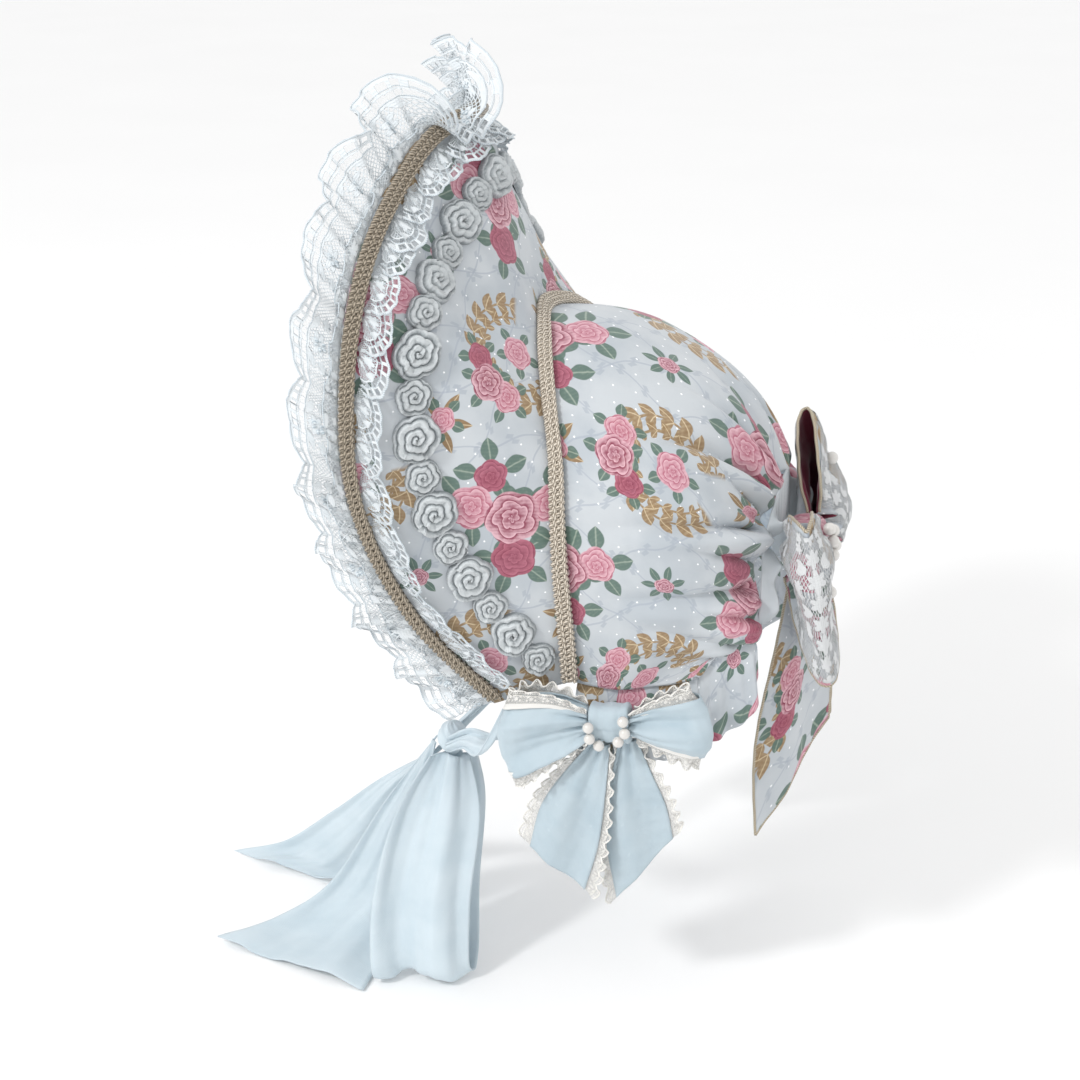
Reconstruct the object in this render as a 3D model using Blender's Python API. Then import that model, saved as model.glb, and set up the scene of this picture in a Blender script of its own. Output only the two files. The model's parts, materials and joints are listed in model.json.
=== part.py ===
"""A costume bonnet: tall standing brim, gathered crown, lace, braid, rose trim, bows and chin ribbon.

Metres, +Z up. X points to the wearer's left, -Y to the wearer's front.
The origin is the seat, at the top inside the crown.
"""

import bmesh
import bpy
import numpy as np
from mathutils import Vector

for leftover in list(bpy.data.objects):
    bpy.data.objects.remove(leftover)

# Driving sizes of the shell
SEAM_HALF_WIDTH = 0.085
SEAM_DROP = 0.178
SEAM_SETBACK = 0.038
EDGE_HALF_WIDTH = 0.130
EDGE_RISE = 0.108
EDGE_DROP = 0.296
EDGE_FORWARD = 0.067
CROWN_DEPTH = 0.135
CROWN_BACK_DROP = 0.167
CROWN_BACK_HALF_WIDTH = 0.075
CROWN_PUFF = 0.040
CROWN_FOLD = 0.0036
CROWN_FOLD_WAVES = ((1.0, 21.0, 0.0), (0.6, 34.0, 0.8))
BRIM_DENT = 0.005
BRIM_SWELLS = ((0.55, 0.0, 0.10), (-1.0, 0.24, 0.09), (0.45, 0.46, 0.12))
SEAT_SETBACK = 0.034
SEAT_RISE = 0.001

# Cloth walls and the clearance between neighbours
BRIM_WALL = 0.0024
CROWN_WALL = 0.0016
FRILL_WALL = 0.0012
LACE_WALL = 0.0010
RIBBON_WALL = 0.0012
CLEARANCE = 0.0004
TRIM_LIFT = 0.0008

# Trims of the shell
BRAID_WIDTH = 0.0080
BRAID_HEIGHT = 0.0036
OUTER_LACE_WIDTH = 0.034
OUTER_LACE_RUFFLE = 0.0035
OUTER_LACE_WAVES = 24
INNER_LACE_WIDTH = 0.016
INNER_LACE_LIFT = 0.0030
INNER_LACE_SHELLS = 36
ROSE_WIDTH = 0.021
ROSE_HEIGHT = 0.0040
SMALL_ROSE = 0.76
ROSES_PER_SIDE = 16
NAPE_FRILL_DROP = 0.042
NAPE_FRILL_FLARE = 0.003
NAPE_FRILL_RUFFLE = 0.0030
NAPE_FRILL_WAVES = 3.5
BACK_FRILL_WIDTH = 0.005
BACK_FRILL_RUFFLE = 0.0015
BACK_FRILL_REACH = 0.76
BACK_FRILL_STATIONS = 37

# Bow at each ear; its lace lining lies inside its ribbon
EAR_STATION = 0.215
EAR_LEVEL = 0.28
EAR_TILT = 6.0
EAR_BOW_DEPTH = 0.015
EAR_BAND_LENGTH = 0.021
EAR_BAND_HEIGHT = 0.022
EAR_TAIL_WIDTH = 0.036
EAR_TAIL_LENGTH = 0.084
BOW_LACE_MARGIN = 0.007
LOOP_LINING = RIBBON_WALL / 2 + LACE_WALL / 2 + 3 * CLEARANCE
EAR_PEARL = 0.0060

# Bow at the middle of the back
BACK_SLOPE = 9.0
BACK_BOW_LENGTH = 0.052
BACK_BOW_HEIGHT = 0.092
BACK_BOW_DEPTH = 0.017
BACK_KNOT_DROP = 0.037
BACK_KNOT_WIDTH = 0.020
BACK_KNOT_HEIGHT = 0.026
BACK_KNOT_DEPTH = 0.022
BACK_TAIL_WIDTH = 0.048
BACK_TAIL_LENGTH = 0.118
BACK_TAIL_CUT = -0.030
BACK_TAIL_SWING = 45.0
BACK_TAIL_LEAN = 4.2
BACK_PEARL = 0.0070

# Chin ribbon: its tails rest level with the foot of its loop
CHIN_DROP = 0.246
CHIN_REACH = 0.077
CHIN_SHIFT = 0.034
TAIL_REST_DROP = 0.371
LOOP_LENGTH = TAIL_REST_DROP - CHIN_DROP
KNOT_SIZE = 0.022
KNOT_SHAPE = (0.85, 0.80, 0.92)
STRAP_WIDTH = 0.024
RIBBON_WIDTH = 0.055
RIBBON_FOLD = 0.00275
RIBBON_LOOP_TURN = np.radians(11.5)

SIDES = ((1, "left"), (-1, "right"))

# Stations along the arch: 0 at the top, 1 at the lower end, mirrored to the other side
SEAM_ROWS = (
    # station, across, back, down (shares of the seam's half width, setback and drop)
    (0.00, 0.00, 0.00, 0.00),
    (0.13, 0.43, 0.25, 0.045),
    (0.25, 0.74, 0.52, 0.155),
    (0.40, 0.95, 0.76, 0.33),
    (0.55, 1.00, 0.84, 0.505),
    (0.70, 0.99, 0.90, 0.68),
    (0.85, 0.955, 0.96, 0.84),
    (1.00, 0.915, 1.00, 1.00),
)
EDGE_ROWS = (
    # station, across, forward, down (shares of the edge's half width, reach and drop)
    (0.00, 0.00, 0.55, 0.00),
    (0.13, 0.30, 0.74, 0.03),
    (0.25, 0.54, 0.86, 0.095),
    (0.40, 0.83, 0.94, 0.205),
    (0.55, 0.985, 0.99, 0.38),
    (0.70, 0.975, 0.96, 0.60),
    (0.85, 0.845, 0.62, 0.825),
    (1.00, 0.675, 0.030, 1.01),
)
BACK_ROWS = (
    # station, across, back, down (shares of the back edge's half width, the crown's depth, back drop)
    (0.00, 0.00, 1.000, 0.48),
    (0.25, 0.36, 0.990, 0.53),
    (0.50, 0.60, 0.975, 0.65),
    (0.70, 0.75, 0.985, 0.81),
    (0.85, 0.86, 0.960, 0.925),
    (1.00, 1.00, 0.770, 1.00),
)
PUFF_ROWS = (
    # station, then out, back, up after the seam and out, back, up before the back edge
    (0.00, 0.00, 1.12, 0.20, 0.00, -0.50, 1.60),
    (0.25, 0.15, 1.05, 0.20, 0.95, -0.55, 1.20),
    (0.50, 0.28, 0.95, 0.10, 1.00, -0.30, 0.35),
    (0.75, 0.18, 0.72, 0.05, 0.60, -0.35, 0.12),
    (1.00, 0.12, 0.60, -0.05, 0.18, -0.42, -0.20),
)


def through(rows, station):
    """Smooth values at the stations asked for, on a curve through every row."""
    table = np.array(rows, float)
    places, values = table[:, 0], table[:, 1:]
    station = np.clip(np.asarray(station, float), places[0], places[-1])
    slopes = np.gradient(values, places, axis=0)
    row = np.clip(np.searchsorted(places, station, side="right") - 1, 0, len(places) - 2)
    span = places[row + 1] - places[row]
    share = ((station - places[row]) / span)[..., None]
    start, end = values[row], values[row + 1]
    rise, fall = slopes[row] * span[..., None], slopes[row + 1] * span[..., None]
    square, cube = share**2, share**3
    return (
        (2 * cube - 3 * square + 1) * start
        + (cube - 2 * square + share) * rise
        + (3 * square - 2 * cube) * end
        + (cube - square) * fall
    )


def both_sides(rows, sideways):
    """The rows of one side after their mirror image, in which the columns named sideways change sign."""
    signs = np.array([-1.0 if column in sideways else 1.0 for column in range(len(rows[0]))])
    return np.vstack([(np.array(rows[1:]) * signs)[::-1], np.array(rows)])


SEAM_TABLE = both_sides(SEAM_ROWS, (0, 1))
EDGE_TABLE = both_sides(EDGE_ROWS, (0, 1))
BACK_TABLE = both_sides(BACK_ROWS, (0, 1))
PUFF_TABLE = both_sides(PUFF_ROWS, (0, 1, 4))
SEAM_APEX = np.array([0.0, -SEAT_SETBACK, -SEAT_RISE])


def seam(u):
    """Where brim and crown meet, from the wearer's right (-1) over the top (0) to the left (1)."""
    across, back, down = np.moveaxis(through(SEAM_TABLE, u), -1, 0)
    return SEAM_APEX + np.stack([across * SEAM_HALF_WIDTH, back * SEAM_SETBACK, -down * SEAM_DROP], -1)


def edge(u):
    """The brim's free edge."""
    across, forward, down = np.moveaxis(through(EDGE_TABLE, u), -1, 0)
    rise = EDGE_RISE - down * EDGE_DROP
    return SEAM_APEX + np.stack([across * EDGE_HALF_WIDTH, -forward * EDGE_FORWARD, rise], -1)


def normal_of(surface, u, v):
    """The unit normal on the side from which u runs to the left when v runs away."""
    step = 1e-4
    u = np.clip(u, -1 + step, 1 - step)
    along = surface(u + step, v) - surface(u - step, v)
    across = surface(u, v + step) - surface(u, v - step)
    normal = np.cross(along, across)
    return normal / np.linalg.norm(normal, axis=-1, keepdims=True)


def flat_brim(u, v):
    """The brim before its soft dents: straight lines from the seam to the free edge."""
    u, v = np.broadcast_arrays(np.asarray(u, float), np.asarray(v, float))
    return seam(u) * (1 - v[..., None]) + edge(u) * v[..., None]


def brim(u, v):
    """The middle of the brim's wall: v is 0 at the seam and 1 at the free edge."""
    u, v = np.broadcast_arrays(np.asarray(u, float), np.asarray(v, float))
    bow = 4 * v * (1 - v)
    off = np.abs(u)
    swell = sum(height * np.exp(-(((off - centre) / width) ** 2)) for height, centre, width in BRIM_SWELLS)
    return flat_brim(u, v) - normal_of(flat_brim, u, v) * (BRIM_DENT * bow * swell)[..., None]


def brim_lift(u, v):
    """The brim's unit normal on its outer face, which looks back over the crown."""
    return -normal_of(brim, u, v)


def over_brim(u, v, lift):
    return brim(u, v) + brim_lift(u, v) * np.asarray(lift)[..., None]


def back_edge(u):
    """The crown's edge at the nape, with the opening that rises at the middle of the back."""
    across, back, down = np.moveaxis(through(BACK_TABLE, u), -1, 0)
    sides = [across * CROWN_BACK_HALF_WIDTH, back * CROWN_DEPTH, -down * CROWN_BACK_DROP]
    return SEAM_APEX + np.stack(sides, -1)


def puffed(u, v):
    """The crown before its folds: a puffed line from the seam to the back edge at each station."""
    u, v = np.broadcast_arrays(np.asarray(u, float), np.asarray(v, float))
    handles = through(PUFF_TABLE, u) * CROWN_PUFF
    start, end = seam(u), back_edge(u)
    v = v[..., None]
    return (
        (1 - v) ** 3 * start
        + 3 * (1 - v) ** 2 * v * (start + handles[..., :3])
        + 3 * (1 - v) * v**2 * (end + handles[..., 3:])
        + v**3 * end
    )


def crown(u, v):
    """The crown's wall with the folds that gather at the back edge."""
    u, v = np.broadcast_arrays(np.asarray(u, float), np.asarray(v, float))
    off = np.abs(u)
    folds = 0.6 + sum(height * np.cos(off * waves + shift) for height, waves, shift in CROWN_FOLD_WAVES)
    gather = np.clip((v - 0.25) / 0.75, 0, 1) ** 1.5
    return puffed(u, v) - normal_of(puffed, u, v) * (CROWN_FOLD * gather * folds)[..., None]


def hem(s):
    """The lower edge of the crown on the left: along the neck from the seam (0), then up the back (1)."""
    s = np.asarray(s, float)[..., None]
    corner, up_the_back = 0.62, 0.20
    neck = crown(1.0, np.clip(s[..., 0] / corner, 0.04, 1))
    back = back_edge(1 - up_the_back * np.clip((s[..., 0] - corner) / (1 - corner), 0, 1))
    return np.where(s < corner, neck, back)


def nape_frill(s, w):
    """The frill below the hem on the left: w is 0 at the hem and 1 at its free edge."""
    s, w = np.broadcast_arrays(np.asarray(s, float), np.asarray(w, float))
    start = hem(s)
    away = start * [1, 1, 0] - [0, 0.02, 0]
    away /= np.linalg.norm(away, axis=-1, keepdims=True)
    ripple = np.sin(2 * np.pi * NAPE_FRILL_WAVES * s + 0.6)
    height = 1 - 0.55 * np.clip((s - 0.70) / 0.30, 0, 1) ** 2
    outwards = w * (NAPE_FRILL_FLARE + NAPE_FRILL_RUFFLE * ripple)
    down = CROWN_WALL + 3 * CLEARANCE + w * NAPE_FRILL_DROP * height
    return start + away * outwards[..., None] - np.stack([0 * down, 0 * down, down], -1)


def from_edge(u, distance):
    """The share of the brim's depth that lies this far in from its free edge."""
    return 1 - distance / np.linalg.norm(edge(u) - seam(u), axis=-1)


ROSE_LINE_ROWS = (
    # station, share of the brim's depth where the rose trim runs
    (0.00, 0.670),
    (0.20, 0.640),
    (0.42, 0.695),
    (0.60, 0.640),
    (0.75, 0.490),
    (0.88, 0.330),
    (0.95, 0.200),
)
OUTER_LACE_ROWS = (
    # station, share of the outer lace's full width that shows past the brim
    (0.00, 1.00),
    (0.22, 0.95),
    (0.45, 0.80),
    (0.65, 0.78),
    (0.85, 0.86),
    (1.00, 0.92),
)
ROSE_LINE_TABLE = both_sides(ROSE_LINE_ROWS, (0,))
OUTER_LACE_TABLE = both_sides(OUTER_LACE_ROWS, (0,))


# Objects
def material(name, colour, roughness, metallic=0.0):
    shader = bpy.data.materials.new(name)
    shader.use_nodes = True
    principled = shader.node_tree.nodes["Principled BSDF"]
    principled.inputs["Base Color"].default_value = (*colour, 1.0)
    principled.inputs["Roughness"].default_value = roughness
    principled.inputs["Metallic"].default_value = metallic
    shader.diffuse_color = (*colour, 1.0)
    return shader


PRINT_CLOTH = material("print_cloth", (0.66, 0.74, 0.81), 0.85)
BLUE_LACE = material("blue_lace", (0.60, 0.72, 0.79), 0.80)
CREAM_LACE = material("cream_lace", (0.87, 0.84, 0.79), 0.80)
GOLD_BRAID = material("gold_braid", (0.42, 0.33, 0.20), 0.45, 0.35)
ROSE_TRIM = material("rose_trim", (0.52, 0.59, 0.64), 0.85)
CHIFFON = material("chiffon", (0.55, 0.73, 0.82), 0.70)
PEARL = material("pearl", (0.86, 0.83, 0.76), 0.22)


def add(name, points, faces, cloth):
    """An object from points and faces, with the faces of a closed body turned outwards."""
    mesh = bpy.data.meshes.new(name)
    mesh.from_pydata([tuple(point) for point in np.asarray(points, float)], [], faces)
    shell = bmesh.new()
    shell.from_mesh(mesh)
    bmesh.ops.recalc_face_normals(shell, faces=shell.faces)
    shell.to_mesh(mesh)
    shell.free()
    mesh.shade_smooth()
    mesh.materials.append(cloth)
    piece = bpy.data.objects.new(name, mesh)
    bpy.context.collection.objects.link(piece)
    return piece


def sheet(name, grid, wall, cloth):
    """A cloth sheet from a grid of points, thickened evenly to both sides."""
    rows, columns = grid.shape[:2]
    faces = [
        (r * columns + c, r * columns + c + 1, (r + 1) * columns + c + 1, (r + 1) * columns + c)
        for r in range(rows - 1)
        for c in range(columns - 1)
    ]
    piece = add(name, grid.reshape(-1, 3), faces, cloth)
    solidify = piece.modifiers.new("wall", "SOLIDIFY")
    solidify.thickness = wall
    solidify.offset = 0.0
    return piece


def bar(name, rings, cloth):
    """A closed bar through rings of points, with a flat cap at each end."""
    count, sides = rings.shape[:2]
    faces = [
        (r * sides + k, r * sides + (k + 1) % sides, (r + 1) * sides + (k + 1) % sides, (r + 1) * sides + k)
        for r in range(count - 1)
        for k in range(sides)
    ]
    faces.append(tuple(range(sides - 1, -1, -1)))
    faces.append(tuple((count - 1) * sides + k for k in range(sides)))
    return add(name, rings.reshape(-1, 3), faces, cloth)


def bead(name, centre, diameter, cloth, shape=(1, 1, 1)):
    """A ball, with shares of its diameter along each axis."""
    ball = bmesh.new()
    bmesh.ops.create_icosphere(ball, subdivisions=2, radius=diameter / 2)
    bmesh.ops.scale(ball, vec=shape, verts=ball.verts)
    mesh = bpy.data.meshes.new(name)
    ball.to_mesh(mesh)
    ball.free()
    mesh.shade_smooth()
    mesh.materials.append(cloth)
    piece = bpy.data.objects.new(name, mesh)
    piece.location = Vector(centre)
    bpy.context.collection.objects.link(piece)
    return piece


def grid_of(surface, first, second):
    return surface(*np.meshgrid(first, second, indexing="ij"))


# Shell of the hat
def crown_start(u):
    """The share of each crown line that stays clear of the brim's wall at the seam."""
    line = crown(u, 0.03) - seam(u)
    slope = edge(u) - seam(u)
    turn = np.linalg.norm(np.cross(line, slope), axis=-1)
    turn /= np.linalg.norm(line, axis=-1) * np.linalg.norm(slope, axis=-1)
    reach = CLEARANCE + turn * BRIM_WALL / 2
    return 0.03 * reach / np.linalg.norm(line, axis=-1)


def make_shell():
    stations = np.linspace(-1, 1, 45)
    sheet("brim", grid_of(brim, stations, np.linspace(0, 1, 5)), BRIM_WALL, PRINT_CLOTH)
    stations = np.linspace(-1, 1, 37)
    u, share = np.meshgrid(stations, np.linspace(0, 1, 9), indexing="ij")
    start = crown_start(u)
    sheet("crown", crown(u, start + (1 - start) * share), CROWN_WALL, PRINT_CLOTH)


def make_frills():
    for side, label in SIDES:
        grid = grid_of(nape_frill, np.linspace(0.02, 1, 22), np.linspace(0, 1, 3))
        sheet(f"{label}_nape_frill", grid * [side, 1, 1], FRILL_WALL, PRINT_CLOTH)
    stations = np.linspace(-BACK_FRILL_REACH, BACK_FRILL_REACH, BACK_FRILL_STATIONS)
    rim = back_edge(stations)
    line = rim - crown(stations, 0.97)
    line /= np.linalg.norm(line, axis=-1, keepdims=True)
    lift = normal_of(crown, stations, 0.985)
    ripple = BACK_FRILL_RUFFLE * np.sin(np.arange(BACK_FRILL_STATIONS) * np.pi / 2)
    under_bow = np.clip((np.abs(stations) - 0.15) / 0.20, 0, 1)
    width = BACK_FRILL_WIDTH * (0.2 + 0.8 * under_bow)
    inner = rim + line * CLEARANCE
    outer = rim + line * width[:, None] + lift * (ripple * under_bow)[:, None]
    sheet("back_frill", np.stack([inner, outer], 1), FRILL_WALL, CHIFFON)


# Lace, braid and roses on the brim
def make_brim_lace():
    stations = np.linspace(-1, 1, OUTER_LACE_WAVES * 4 + 1)
    rim = edge(stations)
    line = rim - seam(stations)
    line /= np.linalg.norm(line, axis=-1, keepdims=True)
    lift = brim_lift(stations, 0.99)
    ripple = np.sin(np.arange(len(stations)) * np.pi / 2)
    width = through(OUTER_LACE_TABLE, stations)[..., 0] * OUTER_LACE_WIDTH
    heading = rim + line * CLEARANCE
    scallops = rim + line * (CLEARANCE + width)[:, None] + lift * (OUTER_LACE_RUFFLE * ripple)[:, None]
    sheet("outer_lace", np.stack([heading, scallops], 1), LACE_WALL, BLUE_LACE)
    stations = np.linspace(-0.965, 0.965, INNER_LACE_SHELLS * 2 + 1)
    shell = np.where(np.arange(len(stations)) % 2 == 0, 0.72, 1.0)
    low = BRIM_WALL / 2 + LACE_WALL / 2 + TRIM_LIFT
    near = over_brim(stations, from_edge(stations, BRAID_WIDTH + 3 * CLEARANCE), low + 0 * stations)
    depth = BRAID_WIDTH + INNER_LACE_WIDTH * shell
    far = over_brim(stations, from_edge(stations, depth), low + INNER_LACE_LIFT * shell)
    sheet("inner_lace", np.stack([near, far], 1), LACE_WALL, BLUE_LACE)


def make_edge_braid():
    stations = np.linspace(-0.99, 0.99, 67)
    foot = BRIM_WALL / 2 + TRIM_LIFT
    corners = ((0.0, foot), (0.15, foot + BRAID_HEIGHT), (0.85, foot + BRAID_HEIGHT), (1.0, foot))
    rings = [
        over_brim(stations, from_edge(stations, across * BRAID_WIDTH), lift + 0 * stations)
        for across, lift in corners
    ]
    bar("edge_braid", np.stack(rings, 1), GOLD_BRAID)


def make_seam_braid():
    stations = np.linspace(-0.985, 0.985, 37)
    start = seam(stations)
    to_brim = brim(stations, 0.05) - start
    to_crown = crown(stations, 0.05) - start
    to_brim /= np.linalg.norm(to_brim, axis=-1, keepdims=True)
    to_crown /= np.linalg.norm(to_crown, axis=-1, keepdims=True)
    off_brim = brim_lift(stations, 0.02)
    off_crown = normal_of(puffed, stations, 0.02)
    middle_lift = off_brim + off_crown
    middle_lift /= np.linalg.norm(middle_lift, axis=-1, keepdims=True)
    low = BRIM_WALL / 2 + TRIM_LIFT
    half = BRAID_WIDTH / 2
    on_brim = start + to_brim * half + off_brim * low
    on_crown = start + to_crown * half + off_crown * low
    closing = np.sum(middle_lift * off_brim, -1, keepdims=True)
    under = start + middle_lift * low / closing
    top = (on_brim + on_crown) / 2 + middle_lift * BRAID_HEIGHT
    bar("seam_braid", np.stack([under, on_brim, top, on_crown], 1), GOLD_BRAID)


def rose_stations():
    """Places along the rose trim, evenly spaced along the brim, four to each rose."""
    fine = np.linspace(-0.955, 0.955, 801)
    line = brim(fine, through(ROSE_LINE_TABLE, fine)[..., 0])
    steps = np.linalg.norm(np.diff(line, axis=0), axis=1)
    length = np.concatenate([[0], np.cumsum(steps)])
    return np.interp(np.linspace(0, length[-1], ROSES_PER_SIDE * 8 + 1), length, fine)


def make_rose_trim():
    stations = rose_stations()
    middle = through(ROSE_LINE_TABLE, stations)[..., 0]
    step = np.arange(len(stations))
    petal = np.array([0.38, 0.88, 1.0, 0.88])[step % 4]
    size = np.where((step // 4) % 2 == 0, 1.0, SMALL_ROSE)
    half = ROSE_WIDTH / 2 * petal * size
    depth = np.linalg.norm(edge(stations) - seam(stations), axis=-1)
    foot = BRIM_WALL / 2 + TRIM_LIFT
    rings = []
    for across, rise in ((-1.0, 0.0), (-0.5, 1.0), (0.5, 1.0), (1.0, 0.0)):
        share = middle + across * half / depth
        rings.append(over_brim(stations, share, foot + rise * ROSE_HEIGHT * petal))
    bar("rose_trim", np.stack(rings, 1), ROSE_TRIM)


# Loops, tails and knots of bows
LOOP_ROWS = (
    # station, along, off, half height (shares of the loop's length, depth and height)
    (0.00, 0.00, 0.84, 0.15),
    (0.18, 0.34, 1.00, 0.34),
    (0.36, 0.84, 0.94, 0.49),
    (0.50, 1.00, 0.50, 0.50),
    (0.64, 0.84, 0.06, 0.49),
    (0.82, 0.34, 0.00, 0.34),
    (1.00, 0.00, 0.16, 0.15),
)
TAIL_ROWS = (
    # station, half width, lean, off (shares of the tail's width, width and depth of the bow)
    (0.00, 0.13, 0.00, 0.00),
    (0.30, 0.34, 0.03, 0.18),
    (0.65, 0.50, 0.05, 0.05),
    (1.00, 0.50, 0.02, -0.10),
)


def place(spot, frame, across, up, off):
    """Points from lengths along a bow's own three directions."""
    sideways, upwards, outwards = frame
    return spot + across[..., None] * sideways + up[..., None] * upwards + off[..., None] * outwards


def loop_surface(spot, frame, size, margin, t, s):
    """A bow's loop, out to its fold and back with t; a margin widens and insets its lace lining."""
    length, height, depth, sag = size
    along, off, half = np.moveaxis(through(LOOP_ROWS, t), -1, 0)
    inset = LOOP_LINING if margin else 0.0
    creases = np.cos(s * np.pi * 2.0) * (1 - along) * along * 0.12
    return place(
        spot,
        frame,
        along * (length - inset),
        s * (half * height + margin * (0.3 + 0.7 * along)) - sag * along**2,
        (off + creases * np.sign(off - 0.5) - 0.5) * (depth - 2 * inset),
    )


def loop_grid(spot, frame, size, margin, steps, columns):
    t, s = np.meshgrid(np.linspace(0, 1, steps), np.linspace(-1, 1, columns), indexing="ij")
    return loop_surface(spot, frame, size, margin, t, s)


def seated_on_loop(spot, frame, size, t, s, height):
    """A point this high off the outer face of a loop."""
    t, s, step = np.asarray(t, float), np.asarray(s, float), 0.01
    here = loop_surface(spot, frame, size, 0, t, s)
    along = loop_surface(spot, frame, size, 0, t + step, s) - here
    across = loop_surface(spot, frame, size, 0, t, s + step) - here
    off = np.cross(along, across)
    off *= np.sign(off @ frame[2]) / np.linalg.norm(off)
    return here + off * height


def tail_grid(spot, frame, size, margin, steps, columns):
    """One hanging tail with a slanted end; its cut is how much one edge is longer than the middle."""
    width, length, depth, cut = size
    t, s = np.meshgrid(np.linspace(0, 1, steps), np.linspace(-1, 1, columns), indexing="ij")
    half, lean, off = np.moveaxis(through(TAIL_ROWS, t), -1, 0)
    fold = np.cos(s * np.pi) * 0.10 * np.sin(t * np.pi)
    return place(
        spot,
        frame,
        s * (half * width + margin * (0.25 + 0.75 * t)) + lean * width,
        -t * (length - s * cut),
        (off + fold) * depth,
    )


def turned(frame, angle):
    """A bow's directions turned in its own plane, in degrees."""
    sideways, upwards, outwards = frame
    turn = np.radians(angle)
    return (
        sideways * np.cos(turn) + upwards * np.sin(turn),
        upwards * np.cos(turn) - sideways * np.sin(turn),
        outwards,
    )


def swung(frame, angle):
    """A bow's directions swung about its upright, so that sideways turns outwards, in degrees."""
    sideways, upwards, outwards = frame
    turn = np.radians(angle)
    return (
        sideways * np.cos(turn) + outwards * np.sin(turn),
        upwards,
        outwards * np.cos(turn) - sideways * np.sin(turn),
    )


KNOT_ROUNDNESS = 0.7


def knot_bar(name, spot, frame, size, cloth):
    """A bow's middle: a soft band, wrapped round and a little narrower at its waist."""
    width, height, depth = size
    angles = np.linspace(0, 2 * np.pi, 12, endpoint=False)
    up = np.sign(np.sin(angles)) * np.abs(np.sin(angles)) ** KNOT_ROUNDNESS * height / 2
    off = np.sign(np.cos(angles)) * np.abs(np.cos(angles)) ** KNOT_ROUNDNESS * depth / 2
    rings = [
        place(spot, frame, 0 * angles + share * width / 2, up * waist, off * waist)
        for share, waist in ((-1.0, 1.0), (-0.4, 0.94), (0.4, 0.94), (1.0, 1.0))
    ]
    return bar(name, np.stack(rings), cloth)


def knot_face(up, height, depth):
    """How far a knot's face stands off its middle at this level."""
    angle = np.arcsin(np.clip(np.abs(up) / (height / 2), 0, 1) ** (1 / KNOT_ROUNDNESS))
    return np.cos(angle) ** KNOT_ROUNDNESS * depth / 2


def seated_loop(middle, frame, knot, way, directions, size, shift=0.0):
    """Where a loop starts, so that its open end lies a clearance off the side of its knot."""
    width, height, depth = knot
    ends = loop_grid(np.zeros(3), directions, size, 0, 2, 25).reshape(-1, 3) + frame[2] * shift
    up, off = np.abs(ends @ frame[1]) / (height / 2), np.abs(ends @ frame[2]) / (depth / 2)
    facing = up ** (2 / KNOT_ROUNDNESS) + off ** (2 / KNOT_ROUNDNESS) < 1
    nearest = np.min(ends[facing] @ frame[0] * way)
    start = width / 2 + CLEARANCE + RIBBON_WALL / 2 - nearest
    return middle + way * frame[0] * start + frame[2] * shift


def on_knot(middle, frame, size, share, pearl):
    """The middle of a pearl that rests on a knot, placed by shares of half its width and height."""
    width, height, depth = size
    across, up = share[0] * width / 2, share[1] * height / 2
    off = knot_face(up, height, depth) + pearl / 2 + CLEARANCE
    return middle + frame[0] * across + frame[1] * up + frame[2] * off


# Bow at each ear
EAR_LOOPS = (
    # name, way forwards, turn and swing in degrees, length, height, sag
    ("front", 1, -4.0, 9.0, 0.048, 0.042, 0.010),
    ("back", -1, 6.0, 3.0, 0.042, 0.034, 0.001),
)
EAR_TAILS = (
    # name, way forwards, turn in degrees, share of the full length, cut, inset
    ("front", 1, 16.0, 1.0, 0.006, 0.0),
    ("back", -1, -8.0, 0.93, -0.019, 0.0044),
)
EAR_PEARLS = (
    # forwards and up, as shares of half the band
    (0.92, 0.16),
    (0.92, -0.43),
    (0.54, -0.88),
    (-0.86, 0.50),
    (-0.90, -0.09),
    (-0.52, -0.56),
)


def ear_bow_frame():
    """The middle of the left ear bow and its directions: forwards, up and outwards."""
    rest = nape_frill(EAR_STATION, EAR_LEVEL)
    frame = (np.array([0, -1.0, 0]), np.array([0, 0, 1.0]), np.array([1.0, 0, 0]))
    seat = NAPE_FRILL_RUFFLE + FRILL_WALL / 2 + 2 * CLEARANCE + EAR_BOW_DEPTH / 2
    return rest + frame[2] * seat, frame


def make_ear_loops(mirror, label, middle, frame, tilted, band):
    for name, way, angle, swing, *lengths, sag in EAR_LOOPS:
        size = (*lengths, EAR_BOW_DEPTH, sag)
        turn = swung(turned(frame, angle * way), swing * way)
        directions = (turn[0] * way, turn[1], turn[2])
        spot = seated_loop(middle, tilted, band, way, directions, size)
        ribbon = loop_grid(spot, directions, size, 0, 11, 4)
        lining = loop_grid(spot, directions, size, BOW_LACE_MARGIN, 11, 4)
        sheet(f"{label}_ear_{name}_loop", ribbon * mirror, RIBBON_WALL, CHIFFON)
        sheet(f"{label}_ear_{name}_loop_lace", lining * mirror, LACE_WALL, CREAM_LACE)


def make_ear_tails(mirror, label, middle, frame, tilted):
    for name, way, angle, share, cut, inset in EAR_TAILS:
        turn = turned(frame, angle)
        drop = EAR_BAND_HEIGHT / 2 + 4 * CLEARANCE
        spot = middle - tilted[1] * drop + way * tilted[0] * EAR_BAND_LENGTH * 0.32 - frame[2] * inset
        behind = spot - frame[2] * LOOP_LINING
        size = (EAR_TAIL_WIDTH, share * EAR_TAIL_LENGTH, EAR_BOW_DEPTH, cut)
        ribbon = tail_grid(spot, turn, size, 0, 6, 4)
        lining = tail_grid(behind, turn, size, BOW_LACE_MARGIN, 6, 4)
        sheet(f"{label}_ear_{name}_tail", ribbon * mirror, RIBBON_WALL, CHIFFON)
        sheet(f"{label}_ear_{name}_tail_lace", lining * mirror, LACE_WALL, CREAM_LACE)


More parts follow.
